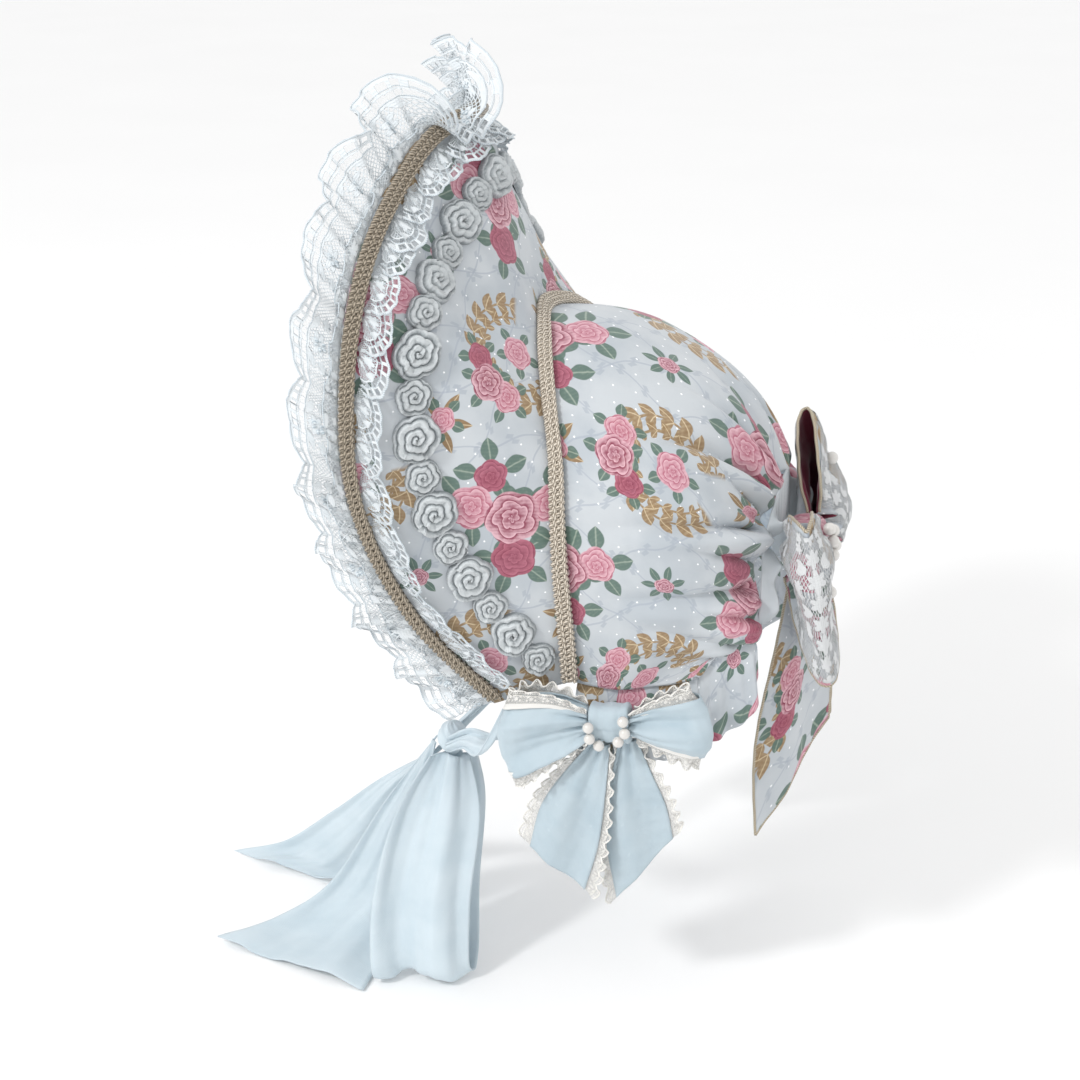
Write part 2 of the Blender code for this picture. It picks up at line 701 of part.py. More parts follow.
def make_ear_bow(side, label):
    middle, frame = ear_bow_frame()
    mirror = np.array([side, 1, 1])
    tilted = turned(frame, -EAR_TILT)
    band = (EAR_BAND_LENGTH, EAR_BAND_HEIGHT, EAR_BOW_DEPTH)
    knot_bar(f"{label}_ear_knot", middle * mirror, [way * mirror for way in tilted], band, CHIFFON)
    make_ear_loops(mirror, label, middle, frame, tilted, band)
    make_ear_tails(mirror, label, middle, frame, tilted)
    for number, share in enumerate(EAR_PEARLS, 1):
        spot = on_knot(middle, tilted, band, share, EAR_PEARL)
        bead(f"{label}_ear_pearl_{number}", spot * mirror, EAR_PEARL, PEARL)


# Bow at the middle of the back
BACK_LOOPS = (
    # name, way to the left, turn, swing and slope in degrees, sag, shift outwards
    ("left", 1, -8.0, 14.0, 9.0, 0.010, 0.0),
    ("right", -1, -26.0, 1.0, 13.0, 0.0, 0.0046),
)
BACK_LOOP_PEARLS = (
    # loop, station and side of the pearl on its outer face
    ("left", 0.14, -0.75),
    ("right", 0.30, 0.45),
)
BACK_PEARLS = (
    # to the left and up, as shares of half the knot
    (0.55, 0.62),
    (0.50, 0.05),
    (-0.10, 0.36),
    (-0.15, -0.30),
    (0.52, -0.55),
)


def back_frame(slope, swing=0.0):
    """Left, up and outwards for a part of the back bow that leans and swings by these degrees."""
    lean, turn = np.radians(slope), np.radians(swing)
    sideways = np.array([np.cos(turn), -np.sin(turn), 0])
    off = np.array([np.sin(turn), np.cos(turn), 0])
    upwards = np.array([0, 0, np.cos(lean)]) - off * np.sin(lean)
    return sideways, upwards, off * np.cos(lean) + np.array([0, 0, np.sin(lean)])


def back_knot_middle():
    return back_edge(0.0) + np.array([0, BACK_BOW_DEPTH / 2 + BACK_FRILL_WIDTH, -BACK_KNOT_DROP])


def make_back_loops(middle, frame, knot):
    loops = {}
    for name, way, angle, swing, slope, sag, shift in BACK_LOOPS:
        size = (BACK_BOW_LENGTH, BACK_BOW_HEIGHT, BACK_BOW_DEPTH, sag)
        turn = swung(turned(back_frame(slope), angle), swing * way)
        directions = (turn[0] * way, turn[1], turn[2])
        spot = seated_loop(middle, frame, knot, way, directions, size, shift)
        loops[name] = (spot, directions, size)
        sheet(f"back_{name}_loop", loop_grid(*loops[name], 0, 13, 4), FRILL_WALL, PRINT_CLOTH)
    for name, station, side in BACK_LOOP_PEARLS:
        spot = seated_on_loop(*loops[name], station, side, FRILL_WALL / 2 + BACK_PEARL / 2 + CLEARANCE)
        bead(f"back_{name}_loop_pearl", spot, BACK_PEARL, PEARL)


def make_back_tails(middle, frame):
    drop = BACK_KNOT_HEIGHT / 2 + CLEARANCE
    spot = middle - frame[1] * drop + frame[0] * BACK_KNOT_WIDTH * 0.34 - frame[2] * BACK_KNOT_DEPTH * 0.2
    own = turned(back_frame(BACK_SLOPE, BACK_TAIL_SWING), BACK_TAIL_LEAN)
    size = (BACK_TAIL_WIDTH, BACK_TAIL_LENGTH, BACK_KNOT_DEPTH, BACK_TAIL_CUT)
    grid = tail_grid(spot, own, size, 0, 9, 4)
    for side, label in SIDES:
        sheet(f"back_{label}_tail", grid * [side, 1, 1], FRILL_WALL, PRINT_CLOTH)


def make_back_bow():
    middle = back_knot_middle()
    frame = back_frame(BACK_SLOPE)
    knot = (BACK_KNOT_WIDTH, BACK_KNOT_HEIGHT, BACK_KNOT_DEPTH)
    knot_bar("back_knot", middle, frame, knot, PRINT_CLOTH)
    make_back_loops(middle, frame, knot)
    make_back_tails(middle, frame)
    for number, share in enumerate(BACK_PEARLS, 1):
        bead(f"back_pearl_{number}", on_knot(middle, frame, knot, share, BACK_PEARL), BACK_PEARL, PEARL)


# Chin ribbon
RIBBON_LOOP_ROWS = (
    # station, outwards, back, down (lengths from the knot as shares of the loop's length), then half width
    (0.00, 0.045, 0.00, 0.068, 0.20),
    (0.12, 0.22, 0.00, 0.25, 0.42),
    (0.30, 0.42, -0.03, 0.66, 0.50),
    (0.42, 0.50, -0.01, 0.93, 0.50),
    (0.50, 0.45, 0.00, 0.985, 0.50),
    (0.60, 0.34, -0.01, 0.92, 0.49),
    (0.76, 0.20, -0.03, 0.64, 0.46),
    (0.90, 0.02, 0.00, 0.28, 0.34),
    (1.00, -0.03, 0.02, 0.083, 0.18),
)
NEAR_TAIL_ROWS = (
    # station, outwards, forwards, down at the far edge, then at the near one (shares of the loop's length)
    (0.00, 0.00, 0.080, 0.00, 0.06, 0.072, 0.02),
    (0.25, 0.00, 0.36, 0.42, 0.08, 0.24, 0.42),
    (0.50, 0.10, 0.60, 0.82, 0.20, 0.36, 0.80),
    (0.75, 0.25, 0.84, 0.975, 0.42, 0.38, 0.97),
    (1.00, 0.43, 1.04, 0.99, 0.66, 0.20, 0.985),
)
FAR_TAIL_ROWS = (
    # the same columns for the tail on the far side
    (0.00, -0.050, 0.03, 0.057, -0.01, 0.070, 0.066),
    (0.25, -0.22, 0.42, 0.38, -0.14, 0.32, 0.44),
    (0.50, -0.34, 0.74, 0.69, -0.18, 0.48, 0.77),
    (0.75, -0.36, 1.02, 0.92, -0.20, 0.60, 0.96),
    (1.00, -0.31, 1.28, 0.985, -0.18, 0.74, 0.985),
)


def chin_knot():
    return np.array([CHIN_SHIFT, -CHIN_REACH, -CHIN_DROP])


def ribbon_from_knot(share):
    """Lengths outwards, forwards and down from the chin knot, as shares of the loop's length."""
    return chin_knot() + share * [1, -1, -1] * LOOP_LENGTH


def make_chin_loop():
    t, s = np.meshgrid(np.linspace(0, 1, 15), np.linspace(-1, 1, 5), indexing="ij")
    rows = through(RIBBON_LOOP_ROWS, t)
    middle = ribbon_from_knot(rows[..., :3] * [1, -1, 1])
    half = rows[..., 3] * RIBBON_WIDTH
    across = np.array([-np.sin(RIBBON_LOOP_TURN), np.cos(RIBBON_LOOP_TURN), 0])
    off = np.cross(across, [0, 0, 1.0])
    fold = np.sin(s * np.pi * 1.5) * RIBBON_FOLD
    sheet("chin_loop", middle + across * (s * half)[..., None] + off * fold[..., None], RIBBON_WALL, CHIFFON)


def make_chin_tails():
    for name, rows in (("near", NEAR_TAIL_ROWS), ("far", FAR_TAIL_ROWS)):
        t, s = np.meshgrid(np.linspace(0, 1, 11), np.linspace(0, 1, 4), indexing="ij")
        edges = through(rows, t)
        share = edges[..., :3] * (1 - s[..., None]) + edges[..., 3:] * s[..., None]
        sheet(f"chin_{name}_tail", ribbon_from_knot(share), RIBBON_WALL, CHIFFON)


STRAP_ROWS = (
    # station, share of the way to the knot, sag and bulge as shares of the chin's drop, half width, twist
    (0.00, 0.00, 0.000, 0.000, 0.50, 0.0),
    (0.35, 0.38, 0.062, 0.055, 0.42, 25.0),
    (0.70, 0.74, 0.012, 0.010, 0.30, 60.0),
    (1.00, 1.00, 0.000, 0.000, 0.20, 80.0),
)


def make_straps():
    seam_end = brim(1.0, np.array([0.30, 0.80]))
    for side, label in SIDES:
        mirror = np.array([side, 1, 1])
        t, s = np.meshgrid(np.linspace(0, 1, 9), np.linspace(-1, 1, 4), indexing="ij")
        way, sag, bulge, half, twist = np.moveaxis(through(STRAP_ROWS, t), -1, 0)
        slack = np.stack([side * bulge, 0 * sag, -sag], -1) * CHIN_DROP
        top = seam_end.mean(0) * mirror - [0, 0, 2 * CLEARANCE]
        line = seam_end[1] - seam_end[0]
        line *= mirror / np.linalg.norm(line)
        goal = chin_knot() + np.array([side * (KNOT_SIZE / 2 * KNOT_SHAPE[0] + CLEARANCE / 2), 0, 0])
        middle = top + (goal - top) * way[..., None] + slack
        turn = np.radians(twist)[..., None]
        across = line * np.cos(turn) + np.array([0, 0, -1.0]) * np.sin(turn)
        grid = middle + across * (s * half * STRAP_WIDTH)[..., None]
        sheet(f"chin_{label}_strap", grid, RIBBON_WALL, CHIFFON)


def make_chin_knot():
    bead("chin_knot", chin_knot(), KNOT_SIZE, CHIFFON, KNOT_SHAPE)


make_shell()
make_frills()
make_brim_lace()
make_edge_braid()
make_seam_braid()
make_rose_trim()
for side, label in SIDES:
    make_ear_bow(side, label)
make_back_bow()
make_straps()
make_chin_knot()
make_chin_loop()
make_chin_tails()
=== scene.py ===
import json

import bpy
import numpy as np
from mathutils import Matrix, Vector

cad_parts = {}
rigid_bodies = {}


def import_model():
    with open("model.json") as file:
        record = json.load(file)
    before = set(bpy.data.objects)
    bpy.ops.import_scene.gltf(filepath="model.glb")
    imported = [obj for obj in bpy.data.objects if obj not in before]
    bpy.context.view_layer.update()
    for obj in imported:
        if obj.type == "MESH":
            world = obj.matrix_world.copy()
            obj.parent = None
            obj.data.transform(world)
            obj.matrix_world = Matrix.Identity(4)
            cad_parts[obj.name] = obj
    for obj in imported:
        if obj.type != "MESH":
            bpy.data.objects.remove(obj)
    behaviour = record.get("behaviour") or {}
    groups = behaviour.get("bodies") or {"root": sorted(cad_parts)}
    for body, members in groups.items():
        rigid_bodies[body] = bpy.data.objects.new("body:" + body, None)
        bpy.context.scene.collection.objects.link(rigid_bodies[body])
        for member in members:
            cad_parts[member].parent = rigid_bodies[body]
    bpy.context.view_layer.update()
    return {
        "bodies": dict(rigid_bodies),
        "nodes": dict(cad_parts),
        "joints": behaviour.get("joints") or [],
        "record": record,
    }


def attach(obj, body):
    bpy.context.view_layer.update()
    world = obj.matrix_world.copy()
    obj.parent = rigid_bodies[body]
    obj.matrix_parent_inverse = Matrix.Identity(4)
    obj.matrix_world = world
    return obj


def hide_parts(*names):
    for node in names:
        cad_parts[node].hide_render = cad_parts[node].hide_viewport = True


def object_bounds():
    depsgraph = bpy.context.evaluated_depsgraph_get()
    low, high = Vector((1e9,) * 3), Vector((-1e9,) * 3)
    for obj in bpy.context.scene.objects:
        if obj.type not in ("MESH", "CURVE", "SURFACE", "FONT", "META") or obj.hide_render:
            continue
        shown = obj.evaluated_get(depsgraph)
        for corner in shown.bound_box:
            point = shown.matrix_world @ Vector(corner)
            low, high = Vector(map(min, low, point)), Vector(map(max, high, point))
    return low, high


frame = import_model()

# Metres, +Z up, X to the wearer's left, -Y to the wearer's front. Sizes as the solids have them.
SEAM_HALF_WIDTH = 0.085
SEAM_DROP = 0.178
SEAM_SETBACK = 0.038
EDGE_HALF_WIDTH = 0.130
EDGE_RISE = 0.108
EDGE_DROP = 0.296
EDGE_FORWARD = 0.067
CROWN_DEPTH = 0.135
CROWN_BACK_DROP = 0.167
CROWN_BACK_HALF_WIDTH = 0.075
CROWN_PUFF = 0.040
CROWN_FOLD = 0.0036
CROWN_FOLD_WAVES = ((1.0, 21.0, 0.0), (0.6, 34.0, 0.8))
BRIM_DENT = 0.005
BRIM_SWELLS = ((0.55, 0.0, 0.10), (-1.0, 0.24, 0.09), (0.45, 0.46, 0.12))
SEAM_APEX = np.array([0.0, -0.034, -0.001])
BRIM_WALL = 0.0024
CROWN_WALL = 0.0016
FRILL_WALL = 0.0010
RIBBON_WALL = 0.0008
LACE_WALL = 0.0004
GAP = 0.0004
BRAID_WIDTH = 0.0080
BRAID_HEIGHT = 0.0036
OUTER_LACE_WIDTH = 0.034
NAPE_FRILL_DROP = 0.042
NAPE_FRILL_FLARE = 0.003
NAPE_FRILL_RUFFLE = 0.0030
NAPE_FRILL_WAVES = 3.5

# Stations along the arch: 0 at the top, 1 at the lower end, mirrored to the other side
SEAM_ROWS = (
    # station, across, back, down (shares of the seam's half width, setback and drop)
    (0.00, 0.00, 0.00, 0.00),
    (0.13, 0.43, 0.25, 0.045),
    (0.25, 0.74, 0.52, 0.155),
    (0.40, 0.95, 0.76, 0.33),
    (0.55, 1.00, 0.84, 0.505),
    (0.70, 0.99, 0.90, 0.68),
    (0.85, 0.955, 0.96, 0.84),
    (1.00, 0.915, 1.00, 1.00),
)
EDGE_ROWS = (
    # station, across, forward, down (shares of the edge's half width, reach and drop)
    (0.00, 0.00, 0.55, 0.00),
    (0.13, 0.30, 0.74, 0.03),
    (0.25, 0.54, 0.86, 0.095),
    (0.40, 0.83, 0.94, 0.205),
    (0.55, 0.985, 0.99, 0.38),
    (0.70, 0.975, 0.96, 0.60),
    (0.85, 0.845, 0.62, 0.825),
    (1.00, 0.675, 0.030, 1.01),
)
BACK_ROWS = (
    # station, across, back, down (shares of the back edge's half width, the crown's depth, back drop)
    (0.00, 0.00, 1.000, 0.48),
    (0.25, 0.36, 0.990, 0.53),
    (0.50, 0.60, 0.975, 0.65),
    (0.70, 0.75, 0.985, 0.81),
    (0.85, 0.86, 0.960, 0.925),
    (1.00, 1.00, 0.770, 1.00),
)
PUFF_ROWS = (
    # station, then out, back, up after the seam and out, back, up before the back edge
    (0.00, 0.00, 1.12, 0.20, 0.00, -0.50, 1.60),
    (0.25, 0.15, 1.05, 0.20, 0.95, -0.55, 1.20),
    (0.50, 0.28, 0.95, 0.10, 1.00, -0.30, 0.35),
    (0.75, 0.18, 0.72, 0.05, 0.60, -0.35, 0.12),
    (1.00, 0.12, 0.60, -0.05, 0.18, -0.42, -0.20),
)
ROSE_LINE_ROWS = (
    # station, share of the brim's depth where the rose trim runs
    (0.00, 0.670),
    (0.20, 0.640),
    (0.42, 0.695),
    (0.60, 0.640),
    (0.75, 0.490),
    (0.88, 0.330),
    (0.95, 0.200),
)
OUTER_LACE_ROWS = (
    # station, share of the outer lace's full width that shows past the brim
    (0.00, 1.00),
    (0.22, 0.95),
    (0.45, 0.80),
    (0.65, 0.78),
    (0.85, 0.86),
    (1.00, 0.92),
)

# Bow at each ear
EAR_STATION = 0.215
EAR_LEVEL = 0.28
EAR_TILT = 6.0
EAR_BOW_DEPTH = 0.015
EAR_BAND_LENGTH = 0.021
EAR_BAND_HEIGHT = 0.022
EAR_TAIL_WIDTH = 0.036
EAR_TAIL_LENGTH = 0.084
BOW_LACE_MARGIN = 0.007
EAR_PEARL = 0.0060

# Bow at the middle of the back
BACK_SLOPE = 9.0
BACK_BOW_LENGTH = 0.052
BACK_BOW_HEIGHT = 0.092
BACK_BOW_DEPTH = 0.017
BACK_FRILL_WIDTH = 0.005
BACK_KNOT_DROP = 0.037
BACK_KNOT_WIDTH = 0.020
BACK_KNOT_HEIGHT = 0.026
BACK_KNOT_DEPTH = 0.022
BACK_TAIL_WIDTH = 0.048
BACK_TAIL_LENGTH = 0.118
BACK_TAIL_CUT = -0.030
BACK_TAIL_SWING = 45.0
BACK_TAIL_LEAN = 4.2
BACK_PEARL = 0.0070

# Chin ribbon
CHIN_DROP = 0.246
CHIN_REACH = 0.077
CHIN_SHIFT = 0.034
TAIL_REST_DROP = 0.371
LOOP_LENGTH = TAIL_REST_DROP - CHIN_DROP
KNOT_SIZE = 0.022
KNOT_SHAPE = (0.85, 0.80, 0.92)
STRAP_WIDTH = 0.024
RIBBON_WIDTH = 0.055
RIBBON_FOLD = 0.00275
RIBBON_LOOP_TURN = np.radians(11.5)

SIDES = ((1, "left"), (-1, "right"))

# Detail of the cloth, which the solids leave out
LEAST_FLAT = 0.0101    # no sheet's flat width or length is worked out narrower
SMALL_STEP = 1e-3    # of a station, for directions along a surface
PLAIT_HALF_WIDTH = 0.00165
PLAIT_RISE = 0.0012
PLAIT_STRAND = 0.00108
PLAIT_PITCH = 0.0105
LACE_BEHIND = 0.0011    # from the cloth of a loop or tail to its lace
BOW_LACE_PITCH = 0.0088
VEIL_WALL = 0.0002
VEIL_OFF = 0.0012
KNOT_WRAPS = 2.0
FRILL_PRINT_SHIFT = (0.031, 0.047)    # brings other motifs onto the frills


# Curves and surfaces that the solids follow
def through(rows, station):
    """Smooth values at the stations asked for, on a curve through every row."""
    table = np.array(rows, float)
    places, values = table[:, 0], table[:, 1:]
    station = np.clip(np.asarray(station, float), places[0], places[-1])
    slopes = np.gradient(values, places, axis=0)
    row = np.clip(np.searchsorted(places, station, side="right") - 1, 0, len(places) - 2)
    span = places[row + 1] - places[row]
    share = ((station - places[row]) / span)[..., None]
    start, end = values[row], values[row + 1]
    rise, fall = slopes[row] * span[..., None], slopes[row + 1] * span[..., None]
    square, cube = share**2, share**3
    return (
        (2 * cube - 3 * square + 1) * start
        + (cube - 2 * square + share) * rise
        + (3 * square - 2 * cube) * end
        + (cube - square) * fall
    )


def both_sides(rows, sideways):
    """The rows of one side after their mirror image, in which the columns named sideways change sign."""
    signs = np.array([-1.0 if column in sideways else 1.0 for column in range(len(rows[0]))])
    return np.vstack([(np.array(rows[1:]) * signs)[::-1], np.array(rows)])


SEAM_TABLE = both_sides(SEAM_ROWS, (0, 1))
EDGE_TABLE = both_sides(EDGE_ROWS, (0, 1))
BACK_TABLE = both_sides(BACK_ROWS, (0, 1))
PUFF_TABLE = both_sides(PUFF_ROWS, (0, 1, 4))
ROSE_LINE_TABLE = both_sides(ROSE_LINE_ROWS, (0,))
OUTER_LACE_TABLE = both_sides(OUTER_LACE_ROWS, (0,))


def seam(u):
    """Where brim and crown meet, from the wearer's right (-1) over the top (0) to the left (1)."""
    across, back, down = np.moveaxis(through(SEAM_TABLE, u), -1, 0)
    return SEAM_APEX + np.stack([across * SEAM_HALF_WIDTH, back * SEAM_SETBACK, -down * SEAM_DROP], -1)


def edge(u):
    """The brim's free edge."""
    across, forward, down = np.moveaxis(through(EDGE_TABLE, u), -1, 0)
    rise = EDGE_RISE - down * EDGE_DROP
    return SEAM_APEX + np.stack([across * EDGE_HALF_WIDTH, -forward * EDGE_FORWARD, rise], -1)


def unit(vectors):
    return vectors / np.linalg.norm(vectors, axis=-1, keepdims=True)


def together(*values):
    """The values as arrays of one shape."""
    return np.broadcast_arrays(*(np.asarray(value, float) for value in values))


def spread(first, second):
    """Two grids of stations; each way is given by its start, end and count."""
    return np.meshgrid(np.linspace(*first), np.linspace(*second), indexing="ij")


def normal_of(surface, u, v):
    """The unit normal on the side from which u runs to the left when v runs away."""
    step = 1e-4
    u = np.clip(u, -1 + step, 1 - step)
    along = surface(u + step, v) - surface(u - step, v)
    across = surface(u, v + step) - surface(u, v - step)
    return unit(np.cross(along, across))


def flat_brim(u, v):
    """The brim before its soft dents: straight lines from the seam to the free edge."""
    u, v = together(u, v)
    return seam(u) * (1 - v[..., None]) + edge(u) * v[..., None]


def brim(u, v):
    """The middle of the brim's wall: v is 0 at the seam and 1 at the free edge."""
    u, v = together(u, v)
    bow, off = 4 * v * (1 - v), np.abs(u)
    swell = sum(height * np.exp(-(((off - centre) / width) ** 2)) for height, centre, width in BRIM_SWELLS)
    return flat_brim(u, v) - normal_of(flat_brim, u, v) * (BRIM_DENT * bow * swell)[..., None]


def brim_lift(u, v):
    """The brim's unit normal on its outer face, which looks back over the crown."""
    return -normal_of(brim, u, v)


def over_brim(u, v, lift):
    return brim(u, v) + brim_lift(u, v) * np.asarray(lift)[..., None]


def from_edge(u, distance):
    """The share of the brim's depth that lies this far in from its free edge."""
    return 1 - distance / np.linalg.norm(edge(u) - seam(u), axis=-1)


def back_edge(u):
    """The crown's edge at the nape, with the opening that rises at the middle of the back."""
    across, back, down = np.moveaxis(through(BACK_TABLE, u), -1, 0)
    sides = [across * CROWN_BACK_HALF_WIDTH, back * CROWN_DEPTH, -down * CROWN_BACK_DROP]
    return SEAM_APEX + np.stack(sides, -1)


def puffed(u, v):
    """The crown before its folds: a puffed line from the seam to the back edge at each station."""
    u, v = together(u, v)
    handles = through(PUFF_TABLE, u) * CROWN_PUFF
    start, end = seam(u), back_edge(u)
    v = v[..., None]
    return (
        (1 - v) ** 3 * start
        + 3 * (1 - v) ** 2 * v * (start + handles[..., :3])
        + 3 * (1 - v) * v**2 * (end + handles[..., 3:])
        + v**3 * end
    )


def crown(u, v):
    """The crown's wall with the folds that gather at the back edge."""
    u, v = together(u, v)
    off = np.abs(u)
    folds = 0.6 + sum(height * np.cos(off * waves + shift) for height, waves, shift in CROWN_FOLD_WAVES)
    gather = np.clip((v - 0.25) / 0.75, 0, 1) ** 1.5
    return puffed(u, v) - normal_of(puffed, u, v) * (CROWN_FOLD * gather * folds)[..., None]


def hem(s):
    """The lower edge of the crown on the left: along the neck from the seam (0), then up the back (1)."""
    s = np.asarray(s, float)[..., None]
    corner, up_the_back = 0.62, 0.20
    neck = crown(1.0, np.clip(s[..., 0] / corner, 0.04, 1))
    back = back_edge(1 - up_the_back * np.clip((s[..., 0] - corner) / (1 - corner), 0, 1))
    return np.where(s < corner, neck, back)


# Mesh tools
class Cloth:
    """Points, faces, flat coordinates in metres and finishes of one piece, gathered part by part."""

    def __init__(self):
        self.points, self.flats, self.faces, self.finishes = [], [], [], []
        self.count = 0

    def add(self, points, flats, faces, finish=0):
        points = np.asarray(points, float).reshape(-1, 3)
        self.points.append(points)
        self.flats.append(np.asarray(flats, float).reshape(-1, 2))
        self.faces += (np.asarray(faces) + self.count).tolist()
        self.finishes += [finish] * len(faces)
        self.count += len(points)

    def close_ends(self, rings, sides, finish):
        """Closes the first and the last ring of the tube that was just added."""
        start = self.count - rings * sides
        self.faces += [list(range(start, start + sides)), list(range(self.count - sides, self.count))[::-1]]
        self.finishes += [finish] * 2

    def piece(self, name, materials, nodes, slot):
        """The finished object, which stands for the nodes named."""
        mesh = bpy.data.meshes.new(name)
        points = np.concatenate(self.points)
        mesh.from_pydata(points.tolist(), [], self.faces)
        flats = np.concatenate(self.flats)
        corners = np.zeros(len(mesh.loops), int)
        mesh.loops.foreach_get("vertex_index", corners)
        layer = mesh.uv_layers.new(name="flat")
        layer.data.foreach_set("uv", flats[corners].ravel())
        for material in materials:
            mesh.materials.append(material)
        mesh.polygons.foreach_set("material_index", self.finishes)
        mesh.polygons.foreach_set("use_smooth", [True] * len(mesh.polygons))
        mesh.update()
        made = bpy.data.objects.new(name, mesh)
        bpy.context.collection.objects.link(made)
        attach(made, "root")
        if nodes:
            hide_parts(*nodes)
        return made


def quads(rows, columns, wrap=False):
    """Faces of a grid of points, row by row; wrap joins the last column to the first."""
    r, c = np.meshgrid(np.arange(rows - 1), np.arange(columns if wrap else columns - 1), indexing="ij")
    r, c = r.ravel(), c.ravel()
    across = (c + 1) % columns
    here = r * columns
    return np.stack([here + c, here + columns + c, here + columns + across, here + across], 1)


def grid_normals(grid):
    return unit(np.cross(np.gradient(grid, axis=0), np.gradient(grid, axis=1)) + 1e-12)


def add_sheet(cloth, grid, flat, wall, finish=0, under=None):
    """A closed sheet of even thickness about a grid of points; under is the finish of its other side."""
    rows, columns = grid.shape[:2]
    lift = grid_normals(grid) * wall / 2
    top = quads(rows, columns)
    count = rows * columns
    both = np.concatenate([(grid + lift).reshape(-1, 3), (grid - lift).reshape(-1, 3)])
    flats = np.concatenate([flat.reshape(-1, 2)] * 2)
    index = np.arange(count).reshape(rows, columns)
    rim = []
    for line, turn in ((index[:, 0], 1), (index[:, -1], 0), (index[0], 0), (index[-1], 1)):
        sides = np.stack([line[:-1], line[1:], line[1:] + count, line[:-1] + count], 1)
        rim.append(sides[:, ::-1] if turn else sides)
    cloth.add(both, flats, np.concatenate([top, *rim]), finish)
    cloth.faces += (top[:, ::-1] + cloth.count - count).tolist()
    cloth.finishes += [finish if under is None else under] * len(top)


def add_tube(cloth, path, up, radius, sides=6, finish=0, flatten=1.0):
    """A closed tube along a path; up is the direction of its flattened side at each point."""
    along = unit(np.gradient(path, axis=0))
    across = unit(np.cross(along, up))
    lift = np.cross(across, along)
    turn = np.linspace(0, 2 * np.pi, sides, endpoint=False)
    radius = np.broadcast_to(radius, len(path))[:, None, None]
    ring = across[:, None] * np.cos(turn)[:, None] + lift[:, None] * np.sin(turn)[:, None] * flatten
    points = path[:, None] + ring * radius
    length = lengths(path, 0)
    flats = np.stack(np.broadcast_arrays(length[:, None], turn * radius.max()), -1)
    cloth.add(points, flats, quads(len(path), sides, wrap=True), finish)
    cloth.close_ends(len(path), sides, finish)


def add_dome(cloth, centre, long_way, wide_way, height_way, finish=0, rings=3, sides=10):
    """A low oval dome, such as a stitched petal, closed at its foot."""
    turn = np.linspace(0, 2 * np.pi, sides, endpoint=False)
    rise = np.linspace(0, np.pi / 2, rings, endpoint=False)
    ring = np.cos(turn)[:, None] * long_way + np.sin(turn)[:, None] * wide_way
    points = centre + ring * np.cos(rise)[:, None, None] + height_way * np.sin(rise)[:, None, None]
    points = np.concatenate([points.reshape(-1, 3), [centre + height_way]])
    flats = points[:, :2]
    cloth.add(points, flats, quads(rings, sides, wrap=True)[:, ::-1], finish)
    start = cloth.count - len(points)
    last = start + (rings - 1) * sides
    for k in range(sides):
        cloth.faces.append([last + k, last + (k + 1) % sides, cloth.count - 1])
    cloth.faces.append(list(range(start, start + sides))[::-1])
    cloth.finishes += [finish] * (sides + 1)


def lengths(grid, axis):
    """Distance run along an axis of a grid of points, from 0 at its start."""
    steps = np.linalg.norm(np.diff(grid, axis=axis), axis=-1)
    total = np.cumsum(steps, axis=axis)
    first = np.zeros_like(np.take(total, [0], axis=axis))
    return np.concatenate([first, total], axis=axis)


def even_flat(grid):
    """Flat coordinates of a sheet: the mean distance run each way."""
    first = lengths(grid, 0).mean(1)
    second = lengths(grid, 1).mean(0)
    return np.stack(np.meshgrid(first, second, indexing="ij"), -1)


def unrolled(near, far):
    """Flat places of two edges of a strip of straight lines, laid out triangle by triangle."""
    near_flat, far_flat = [np.zeros(2)], [np.array([0, np.linalg.norm(far[0] - near[0])])]

    def third(first, second, from_first, from_second):
        base = np.linalg.norm(second - first)
        x = (from_first**2 - from_second**2 + base**2) / (2 * base)
        y = np.sqrt(max(from_first**2 - x**2, 0))
        way = (second - first) / base
        return first + way * x + np.array([way[1], -way[0]]) * y

    for k in range(1, len(near)):
        last_near, last_far = near_flat[-1], far_flat[-1]
        near_step, far_step = np.linalg.norm(near[k] - near[k - 1]), np.linalg.norm(far[k] - far[k - 1])
        now = third(last_near, last_far, near_step, np.linalg.norm(near[k] - far[k - 1]))
        then = third(now, last_far, np.linalg.norm(far[k] - near[k]), far_step)
        near_flat.append(now)
        far_flat.append(then)
    return np.array(near_flat), np.array(far_flat)


def area_of(grid):
    along, across = np.diff(grid, axis=0)[:, :-1], np.diff(grid, axis=1)[:-1]
    return np.linalg.norm(np.cross(along, across), axis=-1).sum()


def declare(grid):
    """Works out what a sheet measures laid flat, its longest runs each way and its area, and keeps none of
    it.
    """
    width = max(lengths(grid, 0)[-1].max(), LEAST_FLAT)
    length = max(lengths(grid, 1)[:, -1].max(), LEAST_FLAT)
    area = area_of(grid)
    length = max(min(length, area / width * 1.6), LEAST_FLAT)


def soft_piece(name, node, grid, wall, finishes, slot, flat=None):
    """A piece of one closed sheet; a second finish is for its other side."""
    cloth = Cloth()
    add_sheet(cloth, grid, even_flat(grid) if flat is None else flat, wall, 0, len(finishes) - 1)
    made = cloth.piece(name, finishes, [node] if node else [], slot)
    declare(grid)


def ribbon_piece(name, node, grid, finish):
    soft_piece(name, node, grid, RIBBON_WALL, [finish], "chiffon")


